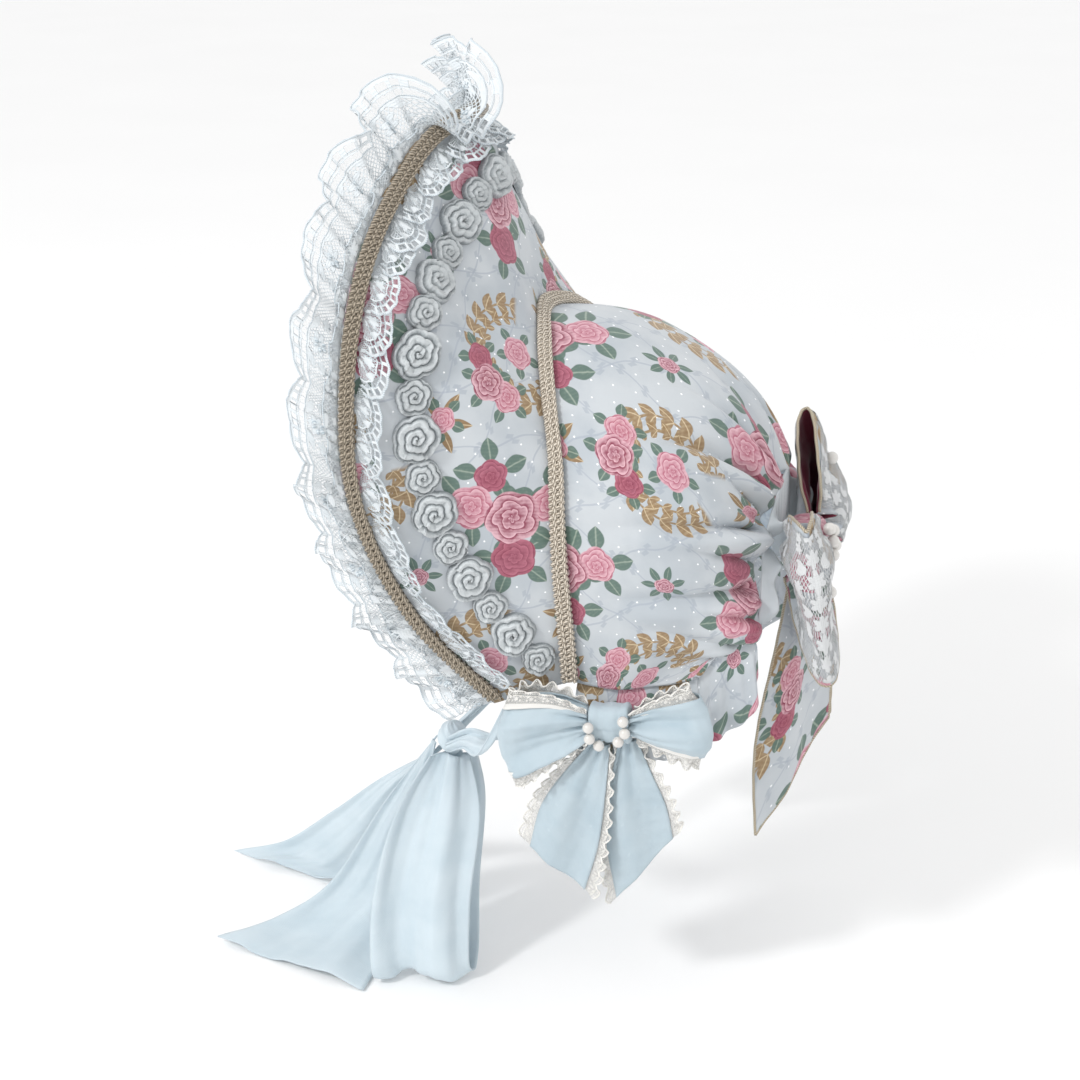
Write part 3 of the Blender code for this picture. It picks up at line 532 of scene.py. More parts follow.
# Shader formulas
class Field:
    """A shader value with arithmetic, so that a pattern reads as a formula."""

    def __init__(self, tree, socket):
        self.tree, self.socket = tree, socket

    def op(self, operation, *others):
        node = self.tree.nodes.new("ShaderNodeMath")
        node.operation = operation
        for slot, value in zip(node.inputs, (self, *others)):
            if isinstance(value, Field):
                self.tree.links.new(value.socket, slot)
            else:
                slot.default_value = value
        return Field(self.tree, node.outputs[0])

    def __add__(self, other):
        return self.op("ADD", other)

    def __sub__(self, other):
        return self.op("SUBTRACT", other)

    def __mul__(self, other):
        return self.op("MULTIPLY", other)

    def __truediv__(self, other):
        return self.op("DIVIDE", other)

    def __abs__(self):
        return self.op("ABSOLUTE")

    def sin(self):
        return self.op("SINE")

    def fract(self):
        return self.op("FRACT")

    def most(self, other):
        return self.op("MAXIMUM", other)

    def turned_over(self):
        return self * -1.0 + 1.0

    def smooth(self, low, high):
        """0 at low and 1 at high, with a soft step between them; low may be the larger one."""
        node = self.tree.nodes.new("ShaderNodeMapRange")
        node.interpolation_type = "SMOOTHSTEP"
        node.inputs["From Min"].default_value = low
        node.inputs["From Max"].default_value = high
        self.tree.links.new(self.socket, node.inputs["Value"])
        return Field(self.tree, node.outputs["Result"])


def srgb(red, green, blue):
    """A colour given in display values of 0 to 255."""
    shares = np.array([red, green, blue]) / 255
    return tuple(np.where(shares <= 0.04045, shares / 12.92, ((shares + 0.055) / 1.055) ** 2.4))


def plug(tree, value, slot):
    """Connects a colour or value socket, or sets a plain colour."""
    if isinstance(value, Field):
        value = value.socket
    if isinstance(value, tuple):
        slot.default_value = (*value, 1.0)
    elif isinstance(value, (int, float)):
        slot.default_value = value
    else:
        tree.links.new(value, slot)


def paint(tree, under, over, amount):
    """One colour laid over another by a mask."""
    node = tree.nodes.new("ShaderNodeMix")
    node.data_type = "RGBA"
    plug(tree, amount, node.inputs[0])
    plug(tree, under, node.inputs[6])
    plug(tree, over, node.inputs[7])
    return node.outputs[2]


def finish_of(name, roughness, **constants):
    """A new material with its plain values set on the shader itself."""
    material = bpy.data.materials.new(name)
    material.use_nodes = True
    tree = material.node_tree
    shader = tree.nodes["Principled BSDF"]
    shader.inputs["Roughness"].default_value = roughness
    for socket, value in constants.items():
        shader.inputs[socket.replace("_", " ")].default_value = value
    return material, tree, shader


def flat_place(tree):
    """The two flat coordinates of the cloth at each point."""
    node = tree.nodes.new("ShaderNodeUVMap")
    node.uv_map = "flat"
    split = tree.nodes.new("ShaderNodeSeparateXYZ")
    tree.links.new(node.outputs["UV"], split.inputs[0])
    return node.outputs["UV"], Field(tree, split.outputs[0]), Field(tree, split.outputs[1])


def noise(tree, place, scale, detail=3.0):
    node = tree.nodes.new("ShaderNodeTexNoise")
    node.inputs["Scale"].default_value = scale
    node.inputs["Detail"].default_value = detail
    tree.links.new(place, node.inputs["Vector"])
    return Field(tree, node.outputs["Fac"])


def solid_place(tree):
    """Coordinates of the object itself, in metres."""
    return tree.nodes.new("ShaderNodeTexCoord").outputs["Object"]


def emboss(tree, shader, height, distance, strength=1.0):
    node = tree.nodes.new("ShaderNodeBump")
    node.inputs["Strength"].default_value = strength
    node.inputs["Distance"].default_value = distance
    tree.links.new(height.socket, node.inputs["Height"])
    tree.links.new(node.outputs["Normal"], shader.inputs["Normal"])


def from_middle(x, y):
    return (x * x + y * y).op("SQRT")


def dressed(made, colour, height, distance, strength):
    """The finished material, with its colour and its relief."""
    material, tree, shader = made
    plug(tree, colour, shader.inputs["Base Color"])
    emboss(tree, shader, height, distance, strength)
    return material


# Motifs of the print: each gives a mask, and some a shade from dark to light
def rose_motif(x, y, place, size, turn):
    across, up = (x - place[0]) / size, (y - place[1]) / size
    reach = from_middle(across, up)
    angle = up.op("ARCTAN2", across) + turn
    lobes = abs((angle * 2.5 + reach * 4.5).sin())
    reach = reach / (abs((angle * 2.5).sin()) * 0.12 + 0.93)
    mask = reach.smooth(1.0, 0.95)
    ring = (reach * 3.6 + angle / (2 * np.pi) - lobes * 0.42 + 6.0).fract()
    shade = ring.smooth(0.0, 0.30) * (ring * 0.55 + 0.30) + ring.smooth(0.80, 0.94) * 0.30
    return mask, shade * (reach * 0.45 + 0.62)


def leaf_mask(along, across):
    """A pointed leaf from 0 to 1 along, and how near its middle vein."""
    half = (along * along * -1.0 + along) * 4.0
    return (half - abs(across)).smooth(-0.04, 0.10), abs(across).smooth(0.16, 0.02)


def leaf_fan(x, y, place, count, turn, inner, length, width):
    """Leaves that point away from a place, evenly round it."""
    across, up = x - place[0], y - place[1]
    reach = from_middle(across, up)
    share = ((up.op("ARCTAN2", across) + turn) * (count / (2 * np.pi)) + 20.0).fract() - 0.5
    angle = share * (2 * np.pi / count)
    along = (reach * angle.op("COSINE") - inner) / length
    return leaf_mask(along, reach * angle.sin() / width)


def wreath(x, y, place, radius, count, leaf, opening):
    """A ring of leaf pairs on a stem, open at one place; opening is a direction."""
    across, up = x - place[0], y - place[1]
    reach = from_middle(across, up)
    angle = up.op("ARCTAN2", across)
    pitch = 2 * np.pi * radius / count
    along = ((angle * (count / (2 * np.pi)) + 20.0).fract() - 0.25) * pitch
    off = abs(reach - radius)
    lean = np.radians(38)
    forwards = (along * np.cos(lean) + off * np.sin(lean)) / leaf[0]
    sideways = (off * np.cos(lean) - along * np.sin(lean)) / leaf[1]
    leaves, vein = leaf_mask(forwards, sideways)
    stem = off.smooth(0.0009, 0.0004)
    kept = (angle - opening).op("COSINE").smooth(0.90, 0.84)
    return leaves.most(stem) * kept, vein


def cell(x, y, pitch, shift):
    """Places within a repeat of the print, from its own middle."""
    across = ((x - shift[0]) / pitch[0] + 100.5).fract() - 0.5
    up = ((y - shift[1]) / pitch[1] + 100.5).fract() - 0.5
    return across * pitch[0], up * pitch[1]


# Finishes
PRINT_REPEAT = (0.128, 0.112)
ROSE_DARK, ROSE_MID, ROSE_LIGHT = srgb(140, 62, 84), srgb(178, 100, 120), srgb(222, 178, 188)
LEAF_DARK, LEAF_LIGHT = srgb(88, 112, 102), srgb(150, 164, 150)
GOLD_DARK, GOLD_LIGHT = srgb(140, 112, 76), srgb(206, 186, 152)
GROUND, GROUND_DEEP = srgb(196, 201, 205), srgb(180, 187, 193)


def print_finish():
    """Pale blue-grey cotton with rose sprays, leafy gold wreaths, buds, a faint trellis and pin dots."""
    made = finish_of("print_cloth", 0.82, Sheen_Weight=0.25, Sheen_Roughness=0.5)
    tree = made[1]
    place, x, y = flat_place(tree)
    wander = (noise(tree, place, 60.0) - 0.5) * 0.0022
    x, y = x + wander, y + (noise(tree, place, 47.0) - 0.5) * 0.0022
    brush = noise(tree, place, 420.0, 4.0)
    hatch = ((x * 3.0 + y * 2.0 + (y * 300.0).sin() * 0.002) * 900.0).sin() * 0.07
    worn = noise(tree, place, 1100.0, 2.0).smooth(0.12, 0.34) * 0.10 + 0.86
    colour = paint(tree, GROUND, GROUND_DEEP, noise(tree, place, 26.0, 5.0).smooth(0.40, 0.66))

    for slope, shift in ((0.55, 0.0), (-0.55, 0.3)):
        vine = ((x + y * slope) / 0.034 + (y / 0.0050 + shift).sin() * 0.045 + 50.0).fract() - 0.5
        colour = paint(tree, colour, srgb(160, 168, 180), abs(vine).smooth(0.020, 0.010) * 0.55)
        beat = abs(((y + x * 0.2) / 0.0125 + shift).fract() - 0.5)
        leaves = (abs(abs(vine) - 0.055) * 3.4 + beat).smooth(0.20, 0.13)
        colour = paint(tree, colour, srgb(156, 165, 176), leaves * 0.5)
    dot_x, dot_y = cell(x, y, (0.0105, 0.0105), (0, 0))
    dots = from_middle(dot_x, dot_y).smooth(0.00060, 0.00040)
    colour = paint(tree, colour, srgb(250, 251, 253), dots)

    def layer(colour, mask, dark, light, shade):
        tone = paint(tree, dark, light, (shade + (brush - 0.5) * 0.75 + hatch).smooth(0.0, 1.0))
        return paint(tree, colour, tone, mask * worn)

    def spray(colour, x, y, roses, leaf):
        for place, size, turn, *_ in roses:
            mask, vein = leaf_fan(x, y, place, 5, turn, size * 0.75, *leaf)
            colour = layer(colour, mask, LEAF_DARK, LEAF_LIGHT, vein * 0.7 + 0.1)
        for place, size, turn, dark, light in roses:
            mask, shade = rose_motif(x, y, place, size, turn)
            colour = layer(colour, mask, dark, light, shade)
        return colour

    width, height = PRINT_REPEAT
    near_x, near_y = cell(x, y, PRINT_REPEAT, (0.0, 0.0))
    big = (
        ((-0.004, 0.020), 0.0098, 5.0, ROSE_MID, ROSE_LIGHT),
        ((0.026, 0.004), 0.0084, 1.4, ROSE_DARK, ROSE_MID),
        ((0.018, -0.013), 0.0118, 2.0, ROSE_MID, ROSE_LIGHT),
        ((-0.018, -0.010), 0.0116, 4.1, ROSE_DARK, ROSE_MID),
        ((0.001, 0.001), 0.0142, 0.4, ROSE_DARK, ROSE_LIGHT),
    )
    colour = spray(colour, near_x, near_y, big, (0.0135, 0.0045))
    ring_x, ring_y = cell(x, y, PRINT_REPEAT, (width / 2, height / 2))
    for radius, count, leaf in ((0.0275, 19, (0.0105, 0.0030)), (0.0205, 17, (0.0062, 0.0019))):
        mask, vein = wreath(ring_x, ring_y, (0.0, 0.003), radius, count, leaf, 1.4)
        colour = layer(colour, mask, GOLD_DARK, GOLD_LIGHT, vein * 0.7 + 0.25)
    small = (
        ((-0.012, -0.022), 0.0082, 2.6, ROSE_MID, ROSE_LIGHT),
        ((0.012, -0.020), 0.0076, 0.3, ROSE_DARK, ROSE_MID),
        ((0.0, -0.026), 0.0098, 1.2, ROSE_DARK, ROSE_LIGHT),
        ((0.0, 0.004), 0.0090, 3.0, ROSE_MID, ROSE_LIGHT),
    )
    colour = spray(colour, ring_x, ring_y, small, (0.0085, 0.0030))
    bud_x, bud_y = cell(x, y, PRINT_REPEAT, (width / 2, 0.0))
    mask, vein = leaf_fan(bud_x, bud_y, (0.0, -0.002), 6, 0.3, 0.002, 0.0150, 0.0026)
    colour = layer(colour, mask, GOLD_DARK, GOLD_LIGHT, vein * 0.8 + 0.1)
    colour = spray(colour, bud_x, bud_y, (((0.0, 0.0), 0.0064, 0.5, ROSE_MID, ROSE_LIGHT),), (0.0075, 0.0028))
    twig_x, twig_y = cell(x, y, PRINT_REPEAT, (0.0, height / 2))
    mask, vein = leaf_fan(twig_x, twig_y, (0.0, 0.0), 7, 1.1, 0.003, 0.0095, 0.0022)
    colour = layer(colour, mask, LEAF_DARK, LEAF_LIGHT, vein * 0.6)
    mask, shade = rose_motif(twig_x, twig_y, (0.0, 0.0), 0.0052, 0.0)
    colour = layer(colour, mask, ROSE_DARK, ROSE_LIGHT, shade)

    weave = (x * 9000.0).sin() * (y * 9000.0).sin() * 0.4 + noise(tree, place, 900.0) * 1.2
    return dressed(made, colour, weave, 0.00012, 0.5)


def lining_finish():
    made = finish_of("lining_cloth", 0.88, Sheen_Weight=0.15)
    tree = made[1]
    place = flat_place(tree)[0]
    colour = paint(tree, srgb(206, 216, 224), srgb(192, 204, 214), noise(tree, place, 30.0))
    return dressed(made, colour, noise(tree, place, 900.0), 0.00012, 0.5)


def chiffon_finish(name, colour, deep):
    """Light crinkled chiffon, with a painted highlight where its crinkle rises."""
    made = finish_of(name, 0.62, Sheen_Weight=0.3, Sheen_Roughness=0.4)
    tree = made[1]
    place, x, y = flat_place(tree)
    crinkle = noise(tree, place, 260.0, 4.0)
    tone = paint(tree, colour, deep, noise(tree, place, 38.0, 4.0).smooth(0.35, 0.75) * 0.6)
    # painted highlight: a paler tone laid on the crests of the crinkle noise, which also makes the bump
    tone = paint(tree, tone, srgb(222, 232, 237), crinkle.smooth(0.62, 0.82) * 0.22)
    weave = (x * 7000.0).sin() * (y * 7000.0).sin() * 0.25 + crinkle
    return dressed(made, tone, weave, 0.00035, 0.55)


def thread_finish(name, light, dark, metallic=0.0, roughness=0.7, ply=0.0011):
    """Twisted thread: slanted plies along a tube, with painted shade in the grooves between them."""
    made = finish_of(name, roughness, Metallic=metallic, Sheen_Weight=0.2)
    tree = made[1]
    place, x, y = flat_place(tree)
    plies = ((x / ply + y / (ply * 1.4)) * (2 * np.pi)).sin() * 0.5 + 0.5
    speck = noise(tree, place, 1500.0, 2.0)
    # painted shade: the tone runs from the dark colour in the grooves between plies to the light one on their
    # crowns
    tone = paint(tree, dark, light, (plies * 0.75 + speck * 0.5).smooth(0.1, 0.9))
    return dressed(made, tone, plies, 0.00015, 0.7)


def pearl_finish():
    material, tree, shader = finish_of(
        "pearl", 0.16, Coat_Weight=1.0, Coat_Roughness=0.04, Specular_IOR_Level=0.8
    )
    tone = paint(tree, srgb(222, 219, 214), srgb(210, 207, 203), noise(tree, solid_place(tree), 220.0))
    plug(tree, tone, shader.inputs["Base Color"])
    return material


def lace_finish(name, light, dark, clear):
    """Scalloped net lace: flat places count scallops along, and run from 0 at the heading to 1."""
    made = finish_of(name, 0.75, Sheen_Weight=0.3)
    tree, shader = made[1:]
    place, count, share = flat_place(tree)
    along = count.fract() - 0.5

    def band(low, high):
        return share.smooth(low - 0.008, low + 0.008) * share.smooth(high + 0.008, high - 0.008)

    def flower(x, y, radius, petals):
        reach = from_middle(x, y)
        angle = y.op("ARCTAN2", x)
        petal = (angle * (petals / 2)).sin().op("ABSOLUTE") * 0.45 + 0.55
        return (reach / (petal * radius)).smooth(1.05, 0.85)

    net_x = (count * 24.0 + share * 10.0).fract() - 0.5
    net_y = (count * 24.0 - share * 10.0).fract() - 0.5
    net = abs(net_x).most(abs(net_y)).smooth(0.33, 0.45)
    holes = abs((count * 10.0).fract() - 0.5)
    ladder = band(0.855, 0.955) * holes.smooth(0.36, 0.30)
    gap = band(0.745, 0.835)
    bars = abs((count * 14.0).fract() - 0.5).smooth(0.40, 0.46)
    x, y = along * 1.15, share - 0.53
    sprig = flower(x, y, 0.17, 6)
    for side in (-1.0, 1.0):
        sprig = sprig.most(flower(x - 0.30 * side, y + 0.10, 0.10, 5))
        lean_along = (x - 0.12 * side) * side / 0.24
        lean_across = (y - 0.14 + (x * side - 0.24) * 0.4) / 0.07
        sprig = sprig.most(leaf_mask(lean_along, lean_across)[0])
    sprig = sprig * band(0.30, 0.73)
    solid = net.most(sprig)
    solid = solid.most(share.smooth(0.30, 0.16)).most(share.smooth(0.82, 0.85)).most(band(0.71, 0.745))
    open_parts = ladder.most(gap * bars.turned_over() * 0.9)
    alpha = (solid - open_parts).most(0.0) * (1.0 - clear) + clear
    speck = noise(tree, place, 70.0, 3.0)
    stitch = (count * 190.0).sin() * 0.25 + (share * 160.0).sin() * 0.25 + speck
    tone = paint(tree, dark, light, (solid * 0.5 + speck * 0.7).smooth(0.3, 0.95))
    plug(tree, alpha, shader.inputs["Alpha"])
    return dressed(made, tone, stitch + sprig, 0.0005, 0.6)


def rose_finish():
    """Stitched rose trim: the second flat place holds the height, from which painted shade darkens the
    grooves.
    """
    made = finish_of("rose_trim", 0.8, Sheen_Weight=0.3)
    tree = made[1]
    _, along, height = flat_place(tree)
    stitches = (along * 5200.0).sin() * 0.5 + 0.5
    speck = noise(tree, solid_place(tree), 900.0, 3.0)
    # painted shade: lighter with height, darker down in the grooves between the ridges
    light = (height * 1.25 + (speck - 0.5) * 0.6).smooth(0.05, 0.80)
    tone = paint(tree, srgb(144, 151, 155), srgb(212, 217, 219), light)
    return dressed(made, tone, stitches * 0.6 + speck, 0.0003, 0.8)


PRINT = print_finish()
LINING = lining_finish()
MAROON = chiffon_finish("maroon_lining", srgb(116, 34, 58), srgb(84, 22, 42))
CHIFFON = chiffon_finish("chiffon", srgb(204, 217, 224), srgb(186, 203, 212))
# painted shade: the ear bows get a darker copy of the same chiffon, standing for the shade in their folds
SHADED_BOW_CHIFFON = chiffon_finish("bow_chiffon_painted_shade", srgb(185, 200, 208), srgb(162, 182, 193))
FRILL_CHIFFON = chiffon_finish("frill_chiffon", srgb(196, 202, 206), srgb(176, 184, 190))
BLUE_LACE = lace_finish("blue_lace", srgb(230, 235, 238), srgb(184, 196, 203), 0.05)
CREAM_LACE = lace_finish("cream_lace", srgb(252, 250, 246), srgb(232, 229, 222), 0.10)
BLUE_THREAD = thread_finish("blue_thread", srgb(222, 229, 233), srgb(172, 186, 195))
CREAM_THREAD = thread_finish("cream_thread", srgb(253, 252, 248), srgb(226, 222, 213))
# one gold braid in two copies: darker on the edge braid for painted shade, lighter on the seam braid for
# painted light
SHADED_EDGE_THREAD = thread_finish("edge_thread_painted_shade", srgb(178, 166, 148), srgb(78, 69, 55), 0.25, 0.45, 0.0014)
LIT_SEAM_THREAD = thread_finish("seam_thread_painted_light", srgb(222, 212, 197), srgb(112, 101, 86), 0.25, 0.45, 0.0014)
GOLD_THREAD = thread_finish("gold_thread", srgb(206, 194, 172), srgb(96, 84, 64), 0.25, 0.45, 0.0014)
# painted shade: the dark tube under each plait that darkens its gaps
GOLD_SHADE = thread_finish("gold_gap_shade", srgb(92, 80, 60), srgb(58, 50, 38), 0.1, 0.7, 0.0014)
VEIL = lace_finish("veil_lace", srgb(216, 218, 219), srgb(198, 201, 203), 0.0)
ROSE = rose_finish()
PEARL = pearl_finish()


# Shell of the hat
def make_brim():
    stations, shares = np.linspace(-1, 1, 281), np.linspace(0, 1, 31)
    near, far = unrolled(seam(stations), edge(stations))
    flat = near[:, None] * (1 - shares[:, None]) + far[:, None] * shares[:, None]
    u, v = np.meshgrid(stations, shares, indexing="ij")
    soft = np.sin(u * 19 + v * 4) * np.sin(v * 9 + u * 3) * 0.0005
    grid = over_brim(u, v, soft)
    cloth = Cloth()
    add_sheet(cloth, grid[::-1], flat[::-1], BRIM_WALL)
    made = cloth.piece("brim_cloth", [PRINT], ["brim"], "print_cloth")
    declare(grid)


def crown_start(u):
    """The share of each crown line that stays clear of the brim's wall at the seam."""
    first = 0.03
    line = crown(u, first) - seam(u)
    slope = edge(u) - seam(u)
    turn = np.linalg.norm(np.cross(line, slope), axis=-1)
    turn /= np.linalg.norm(line, axis=-1) * np.linalg.norm(slope, axis=-1)
    return first * (GAP + turn * BRIM_WALL / 2) / np.linalg.norm(line, axis=-1)


CROWN_CREASES = (
    # station at the back edge, its drift towards the seam, width, depth in metres, first share
    (0.10, 0.08, 0.016, 0.0060, 0.30),
    (0.20, 0.16, 0.020, 0.0105, 0.15),
    (0.30, -0.05, 0.014, 0.0050, 0.50),
    (0.40, 0.16, 0.022, 0.0115, 0.18),
    (0.52, 0.02, 0.016, 0.0060, 0.45),
    (0.62, 0.14, 0.024, 0.0100, 0.22),
    (0.74, -0.06, 0.016, 0.0050, 0.50),
    (0.85, -0.10, 0.020, 0.0065, 0.35),
)


def make_crown():
    u, share = spread((-1, 1, 281), (0, 1, 85))
    start = crown_start(u)
    v = start + (1 - start) * share
    off = np.abs(u)
    gather = np.clip((v - 0.30) / 0.70, 0, 1) ** 1.3
    drift = off + 0.10 * np.sin(v * 3.1 + off * 4) * (1 - v)
    creases = 0 * v
    for middle, turn, width, depth, first in CROWN_CREASES:
        away = (off - middle - turn * (1 - v)) / width
        valley = np.exp(-np.abs(away) ** 1.5) - 0.45 * np.exp(-((away - 1.9) ** 2) / 1.6)
        creases = creases + depth * valley * np.clip((v - first) / (0.95 - first), 0, 1) ** 1.1
    pleats = np.sin(drift * 88 + 1.6 * np.sin(drift * 15)) + 0.6 * np.sin(drift * 131 + 2.0)
    puckers = np.sin(off * 170) * np.exp(-v / 0.05)
    soft = np.sin(u * 9 + v * 5) * np.sin(v * 8 - u * 4)
    swell = 0.0009 * gather**2 * pleats + 0.0004 * puckers + 0.0014 * soft * np.sin(np.pi * v)
    swell = (swell - creases) * np.clip((1 - v) / 0.05, 0, 1)
    grid = crown(u, v) + normal_of(puffed, u, v) * swell[..., None]
    soft_piece(
        "crown_cloth", "crown", grid, CROWN_WALL, [PRINT, LINING], "print_cloth",
    )


def nape_frill(s, w):
    """The frill below the hem on the left: w is 0 at the hem and 1 at its free edge."""
    s, w = together(s, w)
    start = hem(s)
    away = unit(start * [1, 1, 0] - [0, 0.02, 0])
    ripple = np.sin(2 * np.pi * NAPE_FRILL_WAVES * s + 0.6)
    height = 1 - 0.55 * np.clip((s - 0.70) / 0.30, 0, 1) ** 2
    outwards = w * (NAPE_FRILL_FLARE + NAPE_FRILL_RUFFLE * ripple)
    outwards = outwards + 0.0011 * np.sin(2 * np.pi * 11 * s + 1.0) * (0.4 + 0.6 * w)
    outwards = outwards - 0.0016 * np.clip(1 - w / 0.15, 0, 1) + 0.012 * np.clip(w, -1, 0)
    down = 0.0028 + w * (NAPE_FRILL_DROP - 0.0016) * height * (1 + 0.02 * np.sin(2 * np.pi * 7 * s))
    return start + away * outwards[..., None] - np.stack([0 * down, 0 * down, down], -1)


def make_nape_frills():
    for side, label in SIDES:
        grid = nape_frill(*spread((0, 1, 161), (-0.26, 1, 22))) * [side, 1, 1]
        node, flat = f"{label}_nape_frill", even_flat(grid) + FRILL_PRINT_SHIFT
        soft_piece(
            f"{node}_cloth", node, grid, FRILL_WALL, [PRINT], "print_cloth",
            flat,
        )


def make_back_frill():
    """The pale frill at the nape, which reaches down behind the bow at the middle of the back."""
    stations, w = np.linspace(-0.76, 0.76, 281), np.linspace(0, 1, 13)
    rim, off = back_edge(stations), np.abs(stations)
    line = unit(rim - crown(stations, 0.97))
    lift = normal_of(crown, stations, 0.985)
    under_bow = np.clip((off - 0.15) / 0.20, 0, 1)
    held = np.clip(1 - (off / 0.34) ** 2, 0, 1) ** 0.7
    reach = w * (0.0088 * (0.75 + 0.25 * under_bow) + 0.040 * held)[:, None] - 0.0006
    line = unit(line * (1 - held[:, None]) ** 2 + np.array([0, -0.04, -1.0]) * held[:, None])
    wave = 0.0021 * np.sin(off * 46 + 2 * np.sin(off * 13))[:, None] * w * under_bow[:, None]
    wave = wave + 0.0016 * (held * np.cos(stations * 95))[:, None] * np.sin(np.pi * w * 0.8)
    grid = rim[:, None] + line[:, None] * reach[..., None] + lift[:, None] * wave[..., None]
    soft_piece(
        "back_frill_cloth", "back_frill", grid, FRILL_WALL, [FRILL_CHIFFON], "chiffon",
    )


# Lace, braid and roses on the brim
LACE_SCALLOPS = 20
EDGE_FINE = np.linspace(-1, 1, 2001)
EDGE_RUN = lengths(edge(EDGE_FINE), 0)


def outer_lace(count, w):
    """The ruffled lace past the brim's edge, by scallops counted from the right and shares of its width."""
    count, w = together(count, w)
    station = np.interp(count / LACE_SCALLOPS * EDGE_RUN[-1], EDGE_RUN, EDGE_FINE)
    rim = edge(station)
    line = unit(rim - seam(station))
    lift = brim_lift(station, 0.99)
    width = through(OUTER_LACE_TABLE, station)[..., 0] * OUTER_LACE_WIDTH
    scallop = np.abs(np.sin(np.pi * count)) ** 0.6
    flip = np.exp(-(((station - 0.085) / 0.050) ** 4))
    steps = 12
    out, up = 0 * w, 0 * w
    for k in range(steps):
        part = w * (k + 0.5) / steps
        tilt = 0.50 * part * np.sin(2 * np.pi * count + 0.6)
        tilt = tilt + 0.25 * part * np.sin(2 * np.pi * count * 0.5 + 1)
        tilt = tilt + 0.7 * np.sin(2 * np.pi * 4 * count) * np.exp(-part / 0.10)
        tilt = tilt + flip * (1.2 + 1.6 * np.clip(part / 0.30, 0, 1))
        out = out + np.cos(tilt) * w / steps
        up = up + np.sin(tilt) * w / steps
    full = width * (0.80 + 0.32 * scallop * w**2) * (1 - 0.36 * flip)
    return rim + line * (GAP + out * full)[..., None] + lift * (up * full)[..., None]


def lace_frame(surface, count, w):
    """Along, across and outwards at a place on a lace."""
    step = SMALL_STEP
    along = surface(count + step, w) - surface(count - step, w)
    across = surface(count, w + step) - surface(count, w - step)
    return unit(along), unit(across), unit(np.cross(along, across))


def add_threads(cloth, grid, columns, radii, beat=0.0, sides=5, finish=1):
    """Thick threads along some columns of a sheet; beat makes them swell."""
    normals = grid_normals(grid)
    for column, radius in zip(columns, radii):
        add_tube(cloth, grid[:, column], normals[:, column], radius * (1 + beat), sides, finish)


def make_outer_lace():
    count, w = spread((0, LACE_SCALLOPS, LACE_SCALLOPS * 30 + 1), (0, 1, 17))
    grid = outer_lace(count, w)
    cloth = Cloth()
    add_sheet(cloth, grid, np.stack([count, w], -1), LACE_WALL)
    beat = 0.15 * np.sin(count[:, 0] * 57)
    add_threads(cloth, grid, (16, 14, 12), (0.00050, 0.00030, 0.00030), beat)
    for number in range(LACE_SCALLOPS):
        for side in (-1, 1):
            add_blossom(cloth, outer_lace, number + 0.5, 0.50, 0.0042 * side, 6)
            add_blossom(cloth, outer_lace, number + 0.5 + 0.27 * side, 0.40, 0.0026, 5)
    add_heading(cloth)
    made = cloth.piece("outer_lace_ruffle", [BLUE_LACE, BLUE_THREAD], ["outer_lace"], "blue_lace")
    declare(grid)


def add_heading(cloth):
    """The curly gathered heading of the outer lace, which stands up beside the edge braid."""
    stations = np.interp(np.linspace(0.004, 0.996, 1401) * EDGE_RUN[-1], EDGE_RUN, EDGE_FINE)
    run = np.linspace(0, EDGE_RUN[-1], 1401)
    rim, lift = edge(stations), brim_lift(stations, 0.99)
    line = unit(rim - seam(stations))
    along = unit(np.gradient(rim, axis=0))
    turn = 2 * np.pi * run / 0.0105 + 1.3 * np.sin(run * 160) + 0.7 * np.sin(run * 71 + 1)
    shares = np.linspace(0, 1, 7)
    lower = np.clip((np.abs(stations) - 0.55) / 0.25, 0, 1)
    long_wave = 1 + 0.25 * np.sin(run * 97) + 0.15 * np.sin(run * 233)
    out = 0.0006 + shares * (0.0058 + 0.0050 * lower)[:, None] * long_wave[:, None]
    out = out + 0.0008 * np.sin(turn * 0.5 + 0.8)[:, None] * shares
    curl = (0.0015 * np.cos(turn) + 0.0008 * np.cos(1.7 * turn))[:, None]
    up = 0.0012 + 0.0008 * shares + curl * (0.35 + 0.65 * shares)
    side = 0.0016 * np.sin(2 * turn)[:, None] * shares
    grid = rim[:, None] + line[:, None] * out[..., None]
    grid = grid + lift[:, None] * up[..., None] + along[:, None] * side[..., None]
    flat = np.stack(np.broadcast_arrays((run / 0.030)[:, None], 0.36 + 0.36 * shares), -1)
    add_sheet(cloth, grid, flat, LACE_WALL)
    add_threads(cloth, grid, (-1,), (0.00040,), sides=4)


def add_blossom(cloth, surface, count, w, reach, petals):
    """A stitched blossom of low petals on one side of a lace, or the other if its reach is negative."""
    centre = surface(count, w)
    along, across, off = lace_frame(surface, count, w)
    off = off * np.sign(reach)
    for turn in np.arange(petals) * 2 * np.pi / petals:
        way = along * np.cos(turn) + across * np.sin(turn)
        side = np.cross(off, way)
        spot = centre + way * abs(reach) * 0.62 + off * LACE_WALL / 2
        add_dome(cloth, spot, way * abs(reach) * 0.42, side * abs(reach) * 0.26, off * 0.0006, 1, 2, 8)


INNER_SHELLS = 36


